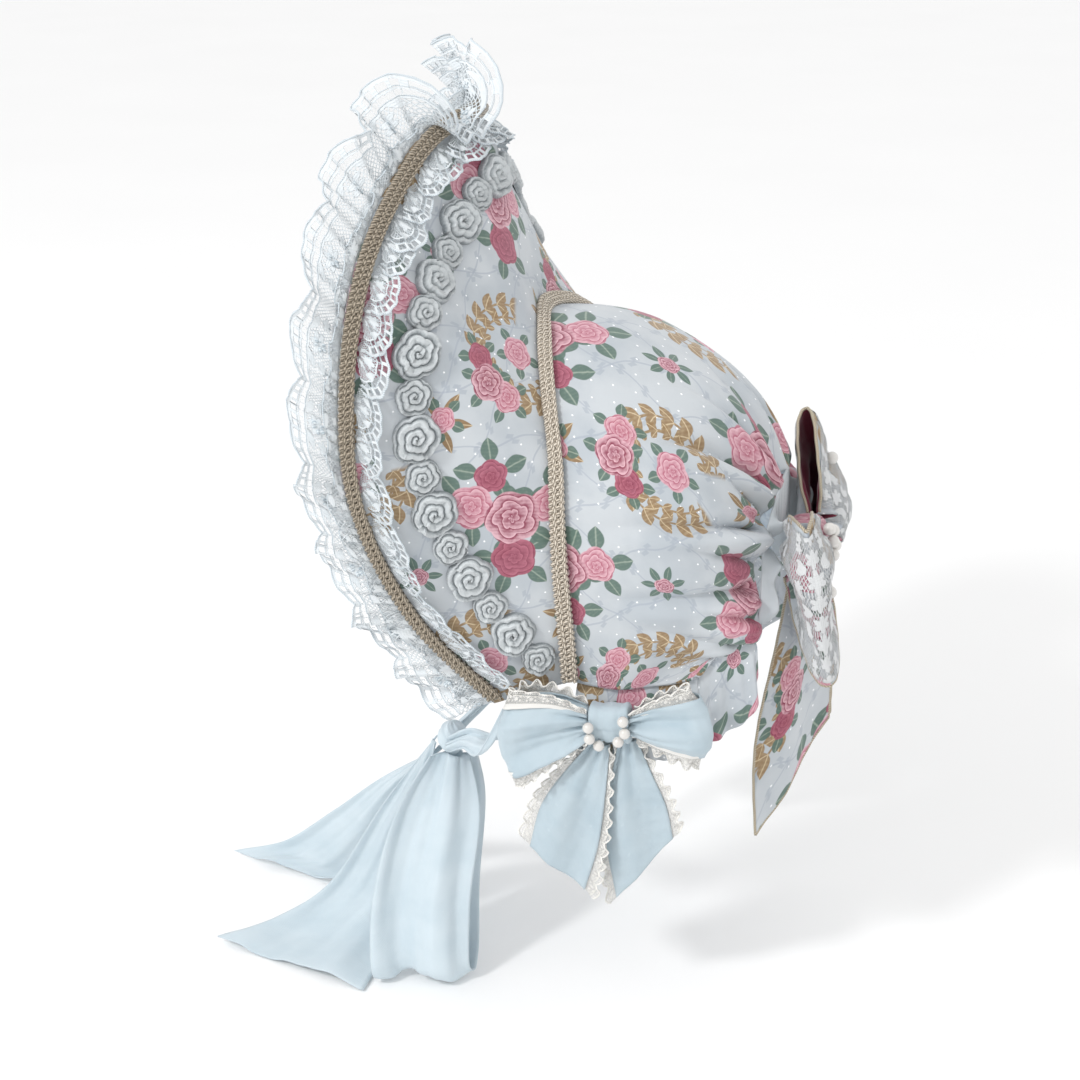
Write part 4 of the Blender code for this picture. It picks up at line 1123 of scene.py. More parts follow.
def inner_shell(number, angle, reach):
    """One shell of the inner lace, fanned out from the edge braid over the brim."""
    angle, reach = together(angle, reach)
    middle = -0.965 + 1.93 * (number + 0.5 + 0.10 * np.sin(number * 2.3)) / INNER_SHELLS
    step = SMALL_STEP
    stretch = 2 * step / np.linalg.norm(edge(middle + step) - edge(middle - step))
    size = 1 + 0.10 * np.sin(number * 1.7)
    picot = 1 + 0.05 * np.abs(np.sin(angle * 6.5))
    station = middle + np.sin(angle) * reach * 0.0150 * size * picot * stretch
    inwards = BRAID_WIDTH + 0.0002 + (0.16 + 0.84 * np.cos(angle) ** 0.8) * reach * 0.0162 * size * picot
    cup = 0.0030 + 0.0082 * reach**1.3 * np.cos(angle)
    cup = cup + 0.0022 * reach * np.sin(angle + 0.5 * np.sin(number * 3.1))
    cup = cup + 0.0012 * reach * np.cos(angle * 7 + number * 1.9)
    return over_brim(station, from_edge(station, inwards), cup)


def make_inner_lace():
    cloth = Cloth()
    angle, reach = spread((-84, 84, 29), (0.10, 1, 9))
    angle = np.radians(angle)
    flat = np.stack([angle / np.pi + 0.5, 0.25 + 0.75 * reach], -1)
    for number in range(INNER_SHELLS):
        grid = inner_shell(number, angle, reach)
        add_sheet(cloth, grid, flat, LACE_WALL)
        add_threads(cloth, grid, (8, 6), (0.00042, 0.00032))
        lift = grid_normals(grid)[14, 4]
        for turn in np.radians([-48, -16, 16, 48]):
            path = inner_shell(number, turn, np.linspace(0.25, 0.78, 5))
            add_tube(cloth, path, np.broadcast_to(lift, path.shape), 0.00030, 4, 1)
    made = cloth.piece("inner_lace_shells", [BLUE_LACE, BLUE_THREAD], ["inner_lace"], "blue_lace")
    length = lengths(edge(np.linspace(-1, 1, 401)), 0)[-1]


def add_plait(cloth, path, across, lift, start):
    """A plait of three strands along a path, over a dark flattened tube that stands for the shade in its
    gaps.
    """
    turn = 2 * np.pi * lengths(path, 0) / PLAIT_PITCH + start
    for strand in range(3):
        shift = 2 * np.pi * strand / 3
        side = PLAIT_HALF_WIDTH * np.sin(turn + shift)
        up = PLAIT_RISE * np.sin(2 * (turn + shift))
        add_tube(cloth, path + across * side[:, None] + lift * up[:, None], lift, PLAIT_STRAND, 6)
    # painted shade: a dark flattened tube under the strands, seen through the gaps of the plait
    add_tube(cloth, (path - lift * 0.0012)[::6], lift[::6], PLAIT_HALF_WIDTH * 1.15, 6, 1, 0.4)


def make_edge_braid():
    stations = np.linspace(-0.99, 0.99, 1200)
    lift = brim_lift(stations, 0.95)
    across = unit(edge(stations) - seam(stations))
    cloth = Cloth()
    foot = BRIM_WALL / 2 + 0.0024
    for share, start in ((0.25, 0.0), (0.75, 1.6)):
        path = over_brim(stations, from_edge(stations, share * BRAID_WIDTH), foot + 0 * stations)
        add_plait(cloth, path, across, lift, start)
    cloth.piece("edge_braid_plaits", [SHADED_EDGE_THREAD, GOLD_SHADE], ["edge_braid"], "gold_braid")


def make_seam_braid():
    stations = np.linspace(-0.985, 0.985, 760)
    start = seam(stations)
    to_brim, to_crown = unit(brim(stations, 0.05) - start), unit(crown(stations, 0.05) - start)
    off_brim, off_crown = brim_lift(stations, 0.02), normal_of(puffed, stations, 0.02)
    on_brim = start + to_brim * BRAID_WIDTH / 2 + off_brim * (BRIM_WALL / 2 + 0.0008)
    on_crown = start + to_crown * BRAID_WIDTH / 2 + off_crown * (CROWN_WALL / 2 + 0.0008)
    across = unit(on_crown - on_brim)
    lift = unit(off_brim + off_crown)
    cloth = Cloth()
    for side, shift in ((-1, 0.0), (1, 1.6)):
        path = (on_brim + on_crown) / 2 + across * 0.0021 * side + lift * (BRAID_HEIGHT - 0.0014)
        add_plait(cloth, path, across, lift, shift)
    cloth.piece("seam_braid_plaits", [LIT_SEAM_THREAD, GOLD_SHADE], ["seam_braid"], "gold_braid")


ROSES_PER_SIDE = 16
BIG_ROSE, SMALL_ROSE = (0.0132, 0.0118), (0.0100, 0.0092)
ROSE_RISE = 0.0062


def rose_places():
    """The middle of each rose along the trim: big and small take turns, evenly spaced along the brim."""
    fine = np.linspace(-0.955, 0.955, 801)
    line = brim(fine, through(ROSE_LINE_TABLE, fine)[..., 0])
    run = lengths(line, 0)
    middles = (np.arange(ROSES_PER_SIDE * 2) + 0.5) / (ROSES_PER_SIDE * 2) * run[-1]
    return np.interp(middles, run, fine)


def add_rose(cloth, station, size, number):
    """A spiral rose with lobed petals, raised in ridges from the brim."""
    sides = 80
    turns = np.linspace(0, 2 * np.pi, sides, endpoint=False)
    reach, turn = np.meshgrid(np.linspace(0, 1, 30), turns, indexing="ij")
    start = number * 2.4
    out = reach * (0.90 + 0.11 * np.abs(np.sin(turn * 2.5 + start)) ** 0.6)
    wobble = 0.30 * np.abs(np.sin(turn * 2.5 + start)) ** 0.8 * reach**1.5
    rings = reach * 3.6 - wobble + ((turn + start) % (2 * np.pi)) / (2 * np.pi) * (1 - reach**3)
    inside, layer = rings % 1.0, np.floor(rings)
    petal = np.abs(np.sin(turn * (1.5 + 0.5 * layer) + start + 0.9 * layer)) ** 0.35
    body = np.clip(np.sin(np.pi * np.clip(inside, 0, 1) ** 0.8), 0, 1) ** 0.7
    lip = np.exp(-(((inside - 0.72) / 0.14) ** 2))
    height = (0.08 + (0.34 + 0.26 * petal) * body + 0.30 * lip) * (1 - 0.18 * reach)
    height = height * np.clip((1 - reach**8) * 2.2, 0, 1)
    share = through(ROSE_LINE_TABLE, station)[..., 0]
    across = unit(brim(station, share + 0.01) - brim(station, share - 0.01))
    step = SMALL_STEP
    along = brim(station + step, share) - brim(station - step, share)
    slope = np.dot(along, across) / np.linalg.norm(along)
    upright = np.sqrt(1 - slope**2)
    depth = np.linalg.norm(edge(station) - seam(station))
    x, y = out * np.cos(turn) * size[0], out * np.sin(turn) * size[1]
    places = station + x / upright * 2 * step / np.linalg.norm(along)
    levels = share + (y - slope / upright * x) / depth
    foot = BRIM_WALL / 2 + 0.0003
    grid = over_brim(places, levels, foot + 0.0008 + ROSE_RISE * height * size[0] / BIG_ROSE[0])
    rim = over_brim(places[-1:], levels[-1:], foot + 0 * places[-1:])
    grid = np.concatenate([grid, rim])
    # the second flat place carries the height, from which the trim's finish paints shade into the grooves
    flats = np.stack([reach * turn * 0.01, height], -1)
    flats = np.concatenate([flats, flats[-1:]])
    cloth.add(grid, flats, quads(len(grid), sides, wrap=True)[sides:])
    hub = cloth.count - (len(grid) - 1) * sides
    cloth.faces += [list(range(hub, hub + sides))[::-1], list(range(cloth.count - sides, cloth.count))]
    cloth.finishes += [0, 0]


def make_rose_trim():
    cloth = Cloth()
    for number, station in enumerate(rose_places()):
        add_rose(cloth, station, SMALL_ROSE if number % 2 else BIG_ROSE, number)
    cloth.piece("rose_trim_roses", [ROSE], ["rose_trim"], "rose_trim")


# Loops, tails and knots of bows
LOOP_ROWS = (
    # station, along, off, half height (shares of the loop's length, depth and height)
    (0.00, 0.00, 0.84, 0.15),
    (0.18, 0.34, 1.00, 0.34),
    (0.36, 0.84, 0.94, 0.49),
    (0.50, 1.00, 0.50, 0.50),
    (0.64, 0.84, 0.06, 0.49),
    (0.82, 0.34, 0.00, 0.34),
    (1.00, 0.00, 0.16, 0.15),
)
TAIL_ROWS = (
    # station, half width, lean, off (shares of the tail's width, width and depth of the bow)
    (0.00, 0.13, 0.00, 0.00),
    (0.30, 0.34, 0.03, 0.18),
    (0.65, 0.50, 0.05, 0.05),
    (1.00, 0.50, 0.02, -0.10),
)


def place(spot, frame, across, up, off):
    """Points from lengths along a bow's own three directions."""
    sideways, upwards, outwards = frame
    return spot + across[..., None] * sideways + up[..., None] * upwards + off[..., None] * outwards


def loop_surface(spot, frame, size, t, s):
    """A bow's loop, out to its fold and back with t."""
    length, height, depth, sag = size
    along, off, half = np.moveaxis(through(LOOP_ROWS, t), -1, 0)
    creases = np.cos(s * np.pi * 2.0) * (1 - along) * along * 0.12
    up = s * (half * height) - sag * along**2
    return place(spot, frame, along * length, up, (off + creases * np.sign(off - 0.5) - 0.5) * depth)


def turned(frame, angle):
    """A bow's directions turned in its own plane, in degrees."""
    sideways, upwards, outwards = frame
    turn = np.radians(angle)
    return (
        sideways * np.cos(turn) + upwards * np.sin(turn),
        upwards * np.cos(turn) - sideways * np.sin(turn),
        outwards,
    )


def swung(frame, angle):
    """A bow's directions swung about its upright, so that sideways turns outwards, in degrees."""
    sideways, upwards, outwards = frame
    turn = np.radians(angle)
    return (
        sideways * np.cos(turn) + outwards * np.sin(turn),
        upwards,
        outwards * np.cos(turn) - sideways * np.sin(turn),
    )


def loop_directions(frame, way, turn, swing):
    """A loop's own directions: out along it, up and outwards."""
    sideways, upwards, outwards = swung(turned(frame, turn), swing * way)
    return sideways * way, upwards, outwards


KNOT_ROUNDNESS = 0.7


def knot_face(up, height, depth):
    """How far a knot's face stands off its middle at this level."""
    angle = np.arcsin(np.clip(np.abs(up) / (height / 2), 0, 1) ** (1 / KNOT_ROUNDNESS))
    return np.cos(angle) ** KNOT_ROUNDNESS * depth / 2


def seated_loop(middle, frame, knot, way, directions, size, shift=0.0):
    """Where a loop starts, so that its open end lies a clearance off the side of its knot."""
    width, height, depth = knot
    t, s = spread((0, 1, 2), (-1, 1, 25))
    ends = loop_surface(np.zeros(3), directions, size, t, s).reshape(-1, 3) + frame[2] * shift
    up, off = np.abs(ends @ frame[1]) / (height / 2), np.abs(ends @ frame[2]) / (depth / 2)
    facing = up ** (2 / KNOT_ROUNDNESS) + off ** (2 / KNOT_ROUNDNESS) < 1
    nearest = np.min(ends[facing] @ frame[0] * way)
    start = width / 2 + GAP + RIBBON_WALL / 2 - nearest
    return middle + way * frame[0] * start + frame[2] * shift


def on_knot(middle, frame, size, share, pearl):
    """The middle of a pearl that rests on a knot, placed by shares of half its width and height."""
    width, height, depth = size
    across, up = share[0] * width / 2, share[1] * height / 2
    off = knot_face(up, height, depth) + pearl / 2 + GAP
    return middle + frame[0] * across + frame[1] * up + frame[2] * off


# Bow at each ear
EAR_LOOPS = (
    # name, way forwards, turn and swing in degrees, length, height, sag
    ("front", 1, -4.0, 9.0, 0.048, 0.042, 0.010),
    ("back", -1, 6.0, 3.0, 0.042, 0.034, 0.001),
)
EAR_TAILS = (
    # name, way forwards, turn in degrees, share of the full length, cut, inset
    ("front", 1, 16.0, 1.0, 0.006, 0.0),
    ("back", -1, -8.0, 0.93, -0.019, 0.0044),
)
EAR_PEARLS = (
    # forwards and up, as shares of half the band
    (0.92, 0.16),
    (0.92, -0.43),
    (0.54, -0.88),
    (-0.86, 0.50),
    (-0.90, -0.09),
    (-0.52, -0.56),
)


def ear_bow_frame():
    """The middle of the left ear bow and its directions: forwards, up and outwards."""
    rest = nape_frill(EAR_STATION, EAR_LEVEL)
    frame = (np.array([0, -1.0, 0]), np.array([0, 0, 1.0]), np.array([1.0, 0, 0]))
    seat = NAPE_FRILL_RUFFLE + FRILL_WALL / 2 + 2 * GAP + EAR_BOW_DEPTH / 2
    return rest + frame[2] * seat, frame


# Bow at the middle of the back
BACK_LOOPS = (
    # name, way to the left, turn, swing and slope in degrees, sag, shift outwards
    ("left", 1, -8.0, 14.0, 9.0, 0.010, 0.0),
    ("right", -1, -26.0, 1.0, 13.0, 0.0, 0.0046),
)
BACK_LOOP_GRID = (73, 33)
BACK_LOOP_PEARLS = (
    # loop, station and side of the pearl on its outer face
    ("left", 0.14, -0.75),
    ("right", 0.30, 0.45),
)
BACK_PEARLS = (
    # to the left and up, as shares of half the knot
    (0.55, 0.62),
    (0.50, 0.05),
    (-0.10, 0.36),
    (-0.15, -0.30),
    (0.52, -0.55),
)


def back_frame(slope, swing=0.0):
    """Left, up and outwards for a part of the back bow that leans and swings by these degrees."""
    lean, turn = np.radians(slope), np.radians(swing)
    sideways = np.array([np.cos(turn), -np.sin(turn), 0])
    off = np.array([np.sin(turn), np.cos(turn), 0])
    upwards = np.array([0, 0, np.cos(lean)]) - off * np.sin(lean)
    return sideways, upwards, off * np.cos(lean) + np.array([0, 0, np.sin(lean)])


BACK_MIDDLE = back_edge(0.0) + np.array([0, BACK_BOW_DEPTH / 2 + BACK_FRILL_WIDTH, -BACK_KNOT_DROP])


# Chin ribbon
RIBBON_LOOP_ROWS = (
    # station, outwards, back, down (from the knot, as shares of the loop's length), then half width
    (0.00, 0.045, 0.00, 0.068, 0.20),
    (0.12, 0.22, 0.00, 0.25, 0.42),
    (0.30, 0.42, -0.03, 0.66, 0.50),
    (0.42, 0.50, -0.01, 0.93, 0.50),
    (0.50, 0.45, 0.00, 0.985, 0.50),
    (0.60, 0.34, -0.01, 0.92, 0.49),
    (0.76, 0.20, -0.03, 0.64, 0.46),
    (0.90, 0.02, 0.00, 0.28, 0.34),
    (1.00, -0.03, 0.02, 0.083, 0.18),
)
NEAR_TAIL_ROWS = (
    # station, outwards, forwards, down at the far edge, then at the near one (shares as above)
    (0.00, 0.00, 0.080, 0.00, 0.06, 0.072, 0.02),
    (0.25, 0.00, 0.36, 0.42, 0.02, 0.13, 0.42),
    (0.50, 0.10, 0.60, 0.82, 0.12, 0.18, 0.80),
    (0.75, 0.25, 0.84, 0.975, 0.28, 0.235, 0.97),
    (1.00, 0.43, 1.04, 0.99, 0.62, 0.245, 0.985),
)
FAR_TAIL_ROWS = (
    # the same columns for the tail on the far side
    (0.00, -0.050, 0.03, 0.057, -0.01, 0.070, 0.066),
    (0.25, -0.22, 0.42, 0.38, -0.14, 0.32, 0.44),
    (0.50, -0.34, 0.74, 0.69, -0.18, 0.48, 0.77),
    (0.75, -0.36, 1.02, 0.92, -0.20, 0.60, 0.96),
    (1.00, -0.31, 1.28, 0.985, -0.18, 0.74, 0.985),
)


CHIN_KNOT = np.array([CHIN_SHIFT, -CHIN_REACH, -CHIN_DROP])


def ribbon_from_knot(share):
    """Lengths outwards, forwards and down from the chin knot, as shares of the loop's length."""
    return CHIN_KNOT + share * [1, -1, -1] * LOOP_LENGTH


STRAP_ROWS = (
    # station, share of the way to the knot, sag and bulge as shares of the drop, half width, twist
    (0.00, 0.00, 0.000, 0.000, 0.50, 0.0),
    (0.35, 0.38, 0.050, 0.045, 0.36, 30.0),
    (0.70, 0.74, 0.012, 0.010, 0.26, 60.0),
    (1.00, 1.00, 0.000, 0.000, 0.20, 80.0),
)


def displaced(grid, height):
    return grid + grid_normals(grid) * np.asarray(height)[..., None]


def loop_cloth(spot, directions, size, steps, columns, rounded, closed):
    """A bow's loop as soft cloth: puckered at the knot, rounded at its fold, nearly closed at its sides."""
    t, s = spread((0, 1, steps), (-1, 1, columns))
    grid = loop_surface(spot, directions, size, t, s)
    away = 1 - np.abs(2 * t - 1)
    grid = grid + ((grid + grid[::-1]) / 2 - grid) * (closed * np.abs(s) ** 3 * away**0.5)[..., None]
    grid = grid - directions[0] * (rounded * size[0] * s**2 * through(LOOP_ROWS, t)[..., 0] ** 2)[..., None]
    near_knot = np.exp(-away / 0.42)
    puckers = np.cos(s * 9.4 + 0.5 * np.sin(away * 7)) + 0.5 * np.cos(s * 17 + away * 3 + 1)
    swell = np.sin(np.pi * np.clip(away, 0, 1)) * np.cos(s * 3.1 + 0.4) * 0.0012
    crinkle = np.sin(s * 12 + t * 31) * np.sin(t * 43 - s * 7) * 0.00028
    long_fold = np.cos(s * 4.2 + 1.1 + away) * (1 - away) ** 0.6 * away**0.5 * 0.0046
    return grid, displaced(grid, near_knot * puckers * size[1] * 0.046 + swell + long_fold + crinkle)


def lace_strip(cloth, line, way, margin, ruffle):
    """A scalloped strip of lace along a ribbon's edge, which stands out by the margin in the way given."""
    run = lengths(line, 0)
    scallops = max(2, round(run[-1] / BOW_LACE_PITCH))
    fine = np.linspace(0, 1, scallops * 12 + 1)

    def evenly(values):
        return np.stack([np.interp(fine * run[-1], run, values[:, k]) for k in range(3)], -1)

    line, way = evenly(line), unit(evenly(way))
    margin = np.interp(fine * run[-1], run, margin)
    lift = unit(np.cross(np.gradient(line, axis=0), way))
    count = fine * scallops
    shares = np.linspace(-0.45, 1, 10)
    scallop = 0.74 + 0.26 * np.abs(np.sin(np.pi * count)) ** 0.6
    reach = np.where(shares > 0, shares * scallop[:, None], shares) * margin[:, None]
    wave = np.clip(shares, 0, 1) ** 1.3 * ruffle * np.sin(2 * np.pi * count + 0.7)[:, None]
    grid = line[:, None] + way[:, None] * reach[..., None] + lift[:, None] * wave[..., None]
    flat = np.stack(np.broadcast_arrays(count[:, None], np.clip(0.22 + 0.78 * shares, 0.0, 1.0)), -1)
    add_sheet(cloth, grid, flat, LACE_WALL)
    add_threads(cloth, grid, (9, 7), (0.00050, 0.00026), 0.2 * np.sin(count * 25))
    return run[-1], area_of(grid)


def make_edging(part, behind, mirror, margin, ruffle):
    """The lace along both edges of a loop or tail, cut as one length side by side."""
    cloth, strips = Cloth(), []
    for column, after in ((0, 1), (-1, -2)):
        line = behind[:, column]
        strips.append(lace_strip(cloth, line * mirror, (line - behind[:, after]) * mirror, margin, ruffle))
    made = cloth.piece(f"{part}_edging", [CREAM_LACE, CREAM_THREAD], [f"{part}_lace"], "cream_lace")
    length = max(run for run, _ in strips)
    area = sum(share for _, share in strips)
    flat = (max(area / length * 1.15, LEAST_FLAT), length)


def add_knot(cloth, spot, frame, size):
    """A soft wrapped band with folds that run round it."""
    width, height, depth = size
    columns, sides = 25, 64
    turns = np.linspace(0, 2 * np.pi, sides, endpoint=False)
    across, turn = np.meshgrid(np.linspace(-1, 1, columns), turns, indexing="ij")
    wraps = np.cos(across * np.pi * KNOT_WRAPS + 0.8 * np.sin(turn + 0.6))
    waist = 0.93 + 0.05 * across**2 + 0.035 * wraps
    waist = waist + 0.012 * np.sin(across * 19 + turn * 2)
    rounded = np.clip((1 - np.abs(across)) / 0.12, 0, 1) ** 0.5 * 0.14 + 0.86
    up = np.sign(np.sin(turn)) * np.abs(np.sin(turn)) ** KNOT_ROUNDNESS * height / 2 * waist * rounded
    off = np.sign(np.cos(turn)) * np.abs(np.cos(turn)) ** KNOT_ROUNDNESS * depth / 2 * waist * rounded
    grid = place(spot, frame, across * width / 2, up, off)
    flats = np.stack([across * width / 2, turn * (height + depth) / 4], -1)
    cloth.add(grid, flats, quads(columns, sides, wrap=True))
    cloth.close_ends(columns, sides, 0)


def ball_places(columns, rings):
    """Turn, rise and direction of the points on a ball's rings, without its two ends."""
    turns = np.linspace(0, 2 * np.pi, columns, endpoint=False)
    rises = np.linspace(-np.pi / 2, np.pi / 2, rings + 2)[1:-1]
    turn, rise = np.meshgrid(turns, rises, indexing="xy")
    return turn, rise, np.stack([np.cos(rise) * np.cos(turn), np.cos(rise) * np.sin(turn), np.sin(rise)], -1)


def add_ball(cloth, points, flats, rings, columns):
    """A closed ball: its rings from the lowest up, then its lower and upper ends."""
    cloth.add(points, flats, quads(rings, columns, wrap=True)[:, ::-1])
    first, last = cloth.count - len(points), cloth.count - columns - 2
    for k in range(columns):
        after = (k + 1) % columns
        cloth.faces.append([cloth.count - 2, first + after, first + k])
        cloth.faces.append([last + k, last + after, cloth.count - 1])
    cloth.finishes += [0] * (2 * columns)


def make_pearl(name, node, centre, diameter):
    """A pearl of fine facets."""
    columns, rings = 28, 14
    ball = ball_places(columns, rings)[2]
    ends = centre + [[0, 0, -diameter / 2], [0, 0, diameter / 2]]
    points = np.concatenate([(centre + ball * diameter / 2).reshape(-1, 3), ends])
    cloth = Cloth()
    add_ball(cloth, points, points[:, :2], rings, columns)
    cloth.piece(name, [PEARL], [node], "pearl")


def make_ear_loop(side, label, middle, tilted, frame, band, row):
    name, way, angle, swing, *sizes, sag = row
    size = (*sizes, EAR_BOW_DEPTH, sag)
    directions = loop_directions(frame, way, angle * way, swing)
    mirror = np.array([side, 1, 1])
    spot = seated_loop(middle, tilted, band, way, directions, size)
    steps = 73
    plain, grid = loop_cloth(spot, directions, size, steps, 29, 0.13, 0.30)
    part, knot = f"{label}_ear_{name}_loop", f"{label}_ear_knot"
    ribbon_piece(f"{part}_cloth", part, grid * mirror, SHADED_BOW_CHIFFON)
    grow = 0.3 + 0.7 * np.clip(through(LOOP_ROWS, np.linspace(0, 1, steps))[:, 0], 0, 1)
    behind = displaced(plain, -LACE_BEHIND)
    make_edging(part, behind, mirror, BOW_LACE_MARGIN * 1.15 * grow, 0.0022)


def tail_cloth(spot, frame, size, steps, columns):
    """A hanging tail as soft cloth; its cut is how much one edge is longer than the middle."""
    width, length, depth, cut = size
    t, s = spread((0, 1, steps), (-1, 1, columns))
    half, lean, off = np.moveaxis(through(TAIL_ROWS, t), -1, 0)
    fold = np.cos(s * np.pi) * 0.10 * np.sin(t * np.pi)
    across = s * (half * width) + lean * width
    grid = place(spot, frame, across, -t * (length - s * cut), (off + fold) * depth)
    puckers = np.cos(s * 8 + 0.6) * np.exp(-t / 0.30) * 0.0014
    folds = np.cos(s * 3.9 + t * 1.6 + 0.5) * np.sin(np.pi * np.clip(t * 0.8, 0, 1)) * 0.0026
    crinkle = np.sin(s * 13 + t * 23) * np.sin(t * 37 - s * 5) * 0.00022
    return displaced(grid, puckers + folds + crinkle)


def make_ear_tail(side, label, middle, tilted, frame, row):
    name, way, angle, share, cut, inset = row
    mirror = np.array([side, 1, 1])
    drop = EAR_BAND_HEIGHT / 2 + 4 * GAP
    spot = middle - tilted[1] * drop + way * tilted[0] * EAR_BAND_LENGTH * 0.32 - frame[2] * inset
    size = (EAR_TAIL_WIDTH, share * EAR_TAIL_LENGTH, EAR_BOW_DEPTH, cut)
    steps = 61
    grid = tail_cloth(spot, turned(frame, angle), size, steps, 25)
    part, knot = f"{label}_ear_{name}_tail", f"{label}_ear_knot"
    ribbon_piece(f"{part}_cloth", part, grid * mirror, SHADED_BOW_CHIFFON)
    grow = 0.25 + 0.75 * np.linspace(0, 1, steps)
    behind = grid - frame[2] * LACE_BEHIND
    make_edging(part, behind, mirror, BOW_LACE_MARGIN * 1.3 * grow, 0.0018)


def make_ear_bow(side, label):
    middle, frame = ear_bow_frame()
    mirror = np.array([side, 1, 1])
    tilted = turned(frame, -EAR_TILT)
    band = (EAR_BAND_LENGTH, EAR_BAND_HEIGHT, EAR_BOW_DEPTH)
    cloth = Cloth()
    add_knot(cloth, middle * mirror, [way * mirror for way in tilted], band)
    made = cloth.piece(f"{label}_ear_knot_band", [SHADED_BOW_CHIFFON], [f"{label}_ear_knot"], "chiffon")
    for row in EAR_LOOPS:
        make_ear_loop(side, label, middle, tilted, frame, band, row)
    for row in EAR_TAILS:
        make_ear_tail(side, label, middle, tilted, frame, row)
    for number, share in enumerate(EAR_PEARLS, 1):
        node = f"{label}_ear_pearl_{number}"
        make_pearl(f"{node}_bead", node, on_knot(middle, tilted, band, share, EAR_PEARL) * mirror, EAR_PEARL)


def make_back_loop(frame, knot, row):
    """One loop of the back bow and its net veil; gives the loop's grid and its outward direction."""
    name, way, angle, swing, slope, sag, shift = row
    size = (BACK_BOW_LENGTH, BACK_BOW_HEIGHT, BACK_BOW_DEPTH, sag)
    directions = loop_directions(back_frame(slope), way, angle, swing)
    spot = seated_loop(BACK_MIDDLE, frame, knot, way, directions, size, shift)
    steps, columns = BACK_LOOP_GRID
    grid = loop_cloth(spot, directions, size, steps, columns, 0.08, 0.62)[1]
    cloth = Cloth()
    add_sheet(cloth, grid, even_flat(grid), FRILL_WALL, *((0, 1) if way < 0 else (1, 0)))
    add_threads(cloth, grid, (0, -1), (0.0009, 0.0009), sides=6, finish=2)
    made = cloth.piece(
        f"back_{name}_loop_cloth", [PRINT, MAROON, GOLD_THREAD], [f"back_{name}_loop"], "print_cloth"
    )
    declare(grid)
    veil = displaced(grid, -way * VEIL_OFF)
    run = lengths(veil, 0)[:, columns // 2] / 0.038
    level = 0.35 + 0.36 * np.abs((np.linspace(-1, 1, columns) * size[1] / 0.025 + 40) % 2 - 1)
    flat = np.stack(np.broadcast_arrays(run[:, None], level), -1)
    part = (slice(2, 62), slice(1, -1))
    soft_piece(
        f"back_{name}_loop_veil", None, veil[part], VEIL_WALL, [VEIL], "blue_lace",
        flat[part],
    )
    return grid, directions[2]


def make_back_tails(frame):
    drop = BACK_KNOT_HEIGHT / 2 + GAP
    spot = BACK_MIDDLE - frame[1] * drop
    spot = spot + frame[0] * BACK_KNOT_WIDTH * 0.34 - frame[2] * BACK_KNOT_DEPTH * 0.2
    own = turned(back_frame(BACK_SLOPE, BACK_TAIL_SWING), BACK_TAIL_LEAN)
    size = (BACK_TAIL_WIDTH, BACK_TAIL_LENGTH, BACK_KNOT_DEPTH, BACK_TAIL_CUT)
    grid = tail_cloth(spot, own, size, 81, 25)
    for side, label in SIDES:
        cloth = Cloth()
        mirror = np.array([side, 1, 1])
        add_sheet(cloth, (grid * mirror)[::side], even_flat(grid)[::side], FRILL_WALL)
        for line in (grid[:, 0], grid[:, -1], grid[-1]):
            add_tube(cloth, line * mirror, np.broadcast_to(own[2], line.shape), 0.0008, 6, 1)
        part = f"back_{label}_tail"
        made = cloth.piece(f"{part}_cloth", [PRINT, GOLD_THREAD], [part], "print_cloth")
        declare(grid)


def make_back_bow():
    frame = back_frame(BACK_SLOPE)
    knot = (BACK_KNOT_WIDTH, BACK_KNOT_HEIGHT, BACK_KNOT_DEPTH)
    cloth = Cloth()
    add_knot(cloth, BACK_MIDDLE, frame, knot)
    made = cloth.piece("back_knot_band", [PRINT], ["back_knot"], "print_cloth")
    loops = {row[0]: make_back_loop(frame, knot, row) for row in BACK_LOOPS}
    steps, columns = BACK_LOOP_GRID
    for name, station, side in BACK_LOOP_PEARLS:
        grid, outwards = loops[name]
        row, column = round(station * (steps - 1)), round((side + 1) / 2 * (columns - 1))
        off = grid_normals(grid)[row, column]
        spot = grid[row, column] + off * np.sign(off @ outwards) * (FRILL_WALL / 2 + BACK_PEARL / 2 + GAP)
        make_pearl(f"back_{name}_loop_bead", f"back_{name}_loop_pearl", spot, BACK_PEARL)
    make_back_tails(frame)
    for number, share in enumerate(BACK_PEARLS, 1):
        node = f"back_pearl_{number}"
        make_pearl(f"{node}_bead", node, on_knot(BACK_MIDDLE, frame, knot, share, BACK_PEARL), BACK_PEARL)


def ribbon_folds(t, s, phase):
    """Soft lengthwise folds of a chiffon ribbon, as heights over its own middle."""
    drift = 1.1 * np.sin(t * 4 + phase)
    folds = np.sin(s * 4.6 + drift + phase) + 0.45 * np.sin(s * 9.5 - t * 5 + phase)
    folds = folds + 0.14 * np.sin(s * 21 + t * 3)
    crinkle = np.sin(s * 11 + t * 17) * np.sin(t * 23 - s * 7) * 0.12
    return (folds + crinkle) * 0.0017


def make_chin_loop():
    t, s = spread((0, 1, 131), (-1, 1, 41))
    rows = through(RIBBON_LOOP_ROWS, t)
    middle = ribbon_from_knot(rows[..., :3] * [1, -1, 1])
    half = rows[..., 3] * RIBBON_WIDTH
    across = np.array([-np.sin(RIBBON_LOOP_TURN), np.cos(RIBBON_LOOP_TURN), 0])
    off = np.cross(across, [0, 0, 1.0])
    waves = np.sin(s * np.pi * 1.5) * RIBBON_FOLD
    grid = middle + across * (s * half)[..., None] + off * waves[..., None]
    grid = displaced(grid, ribbon_folds(t * 2, s, 0.4))
    ribbon_piece("chin_loop_ribbon", "chin_loop", grid, CHIFFON)


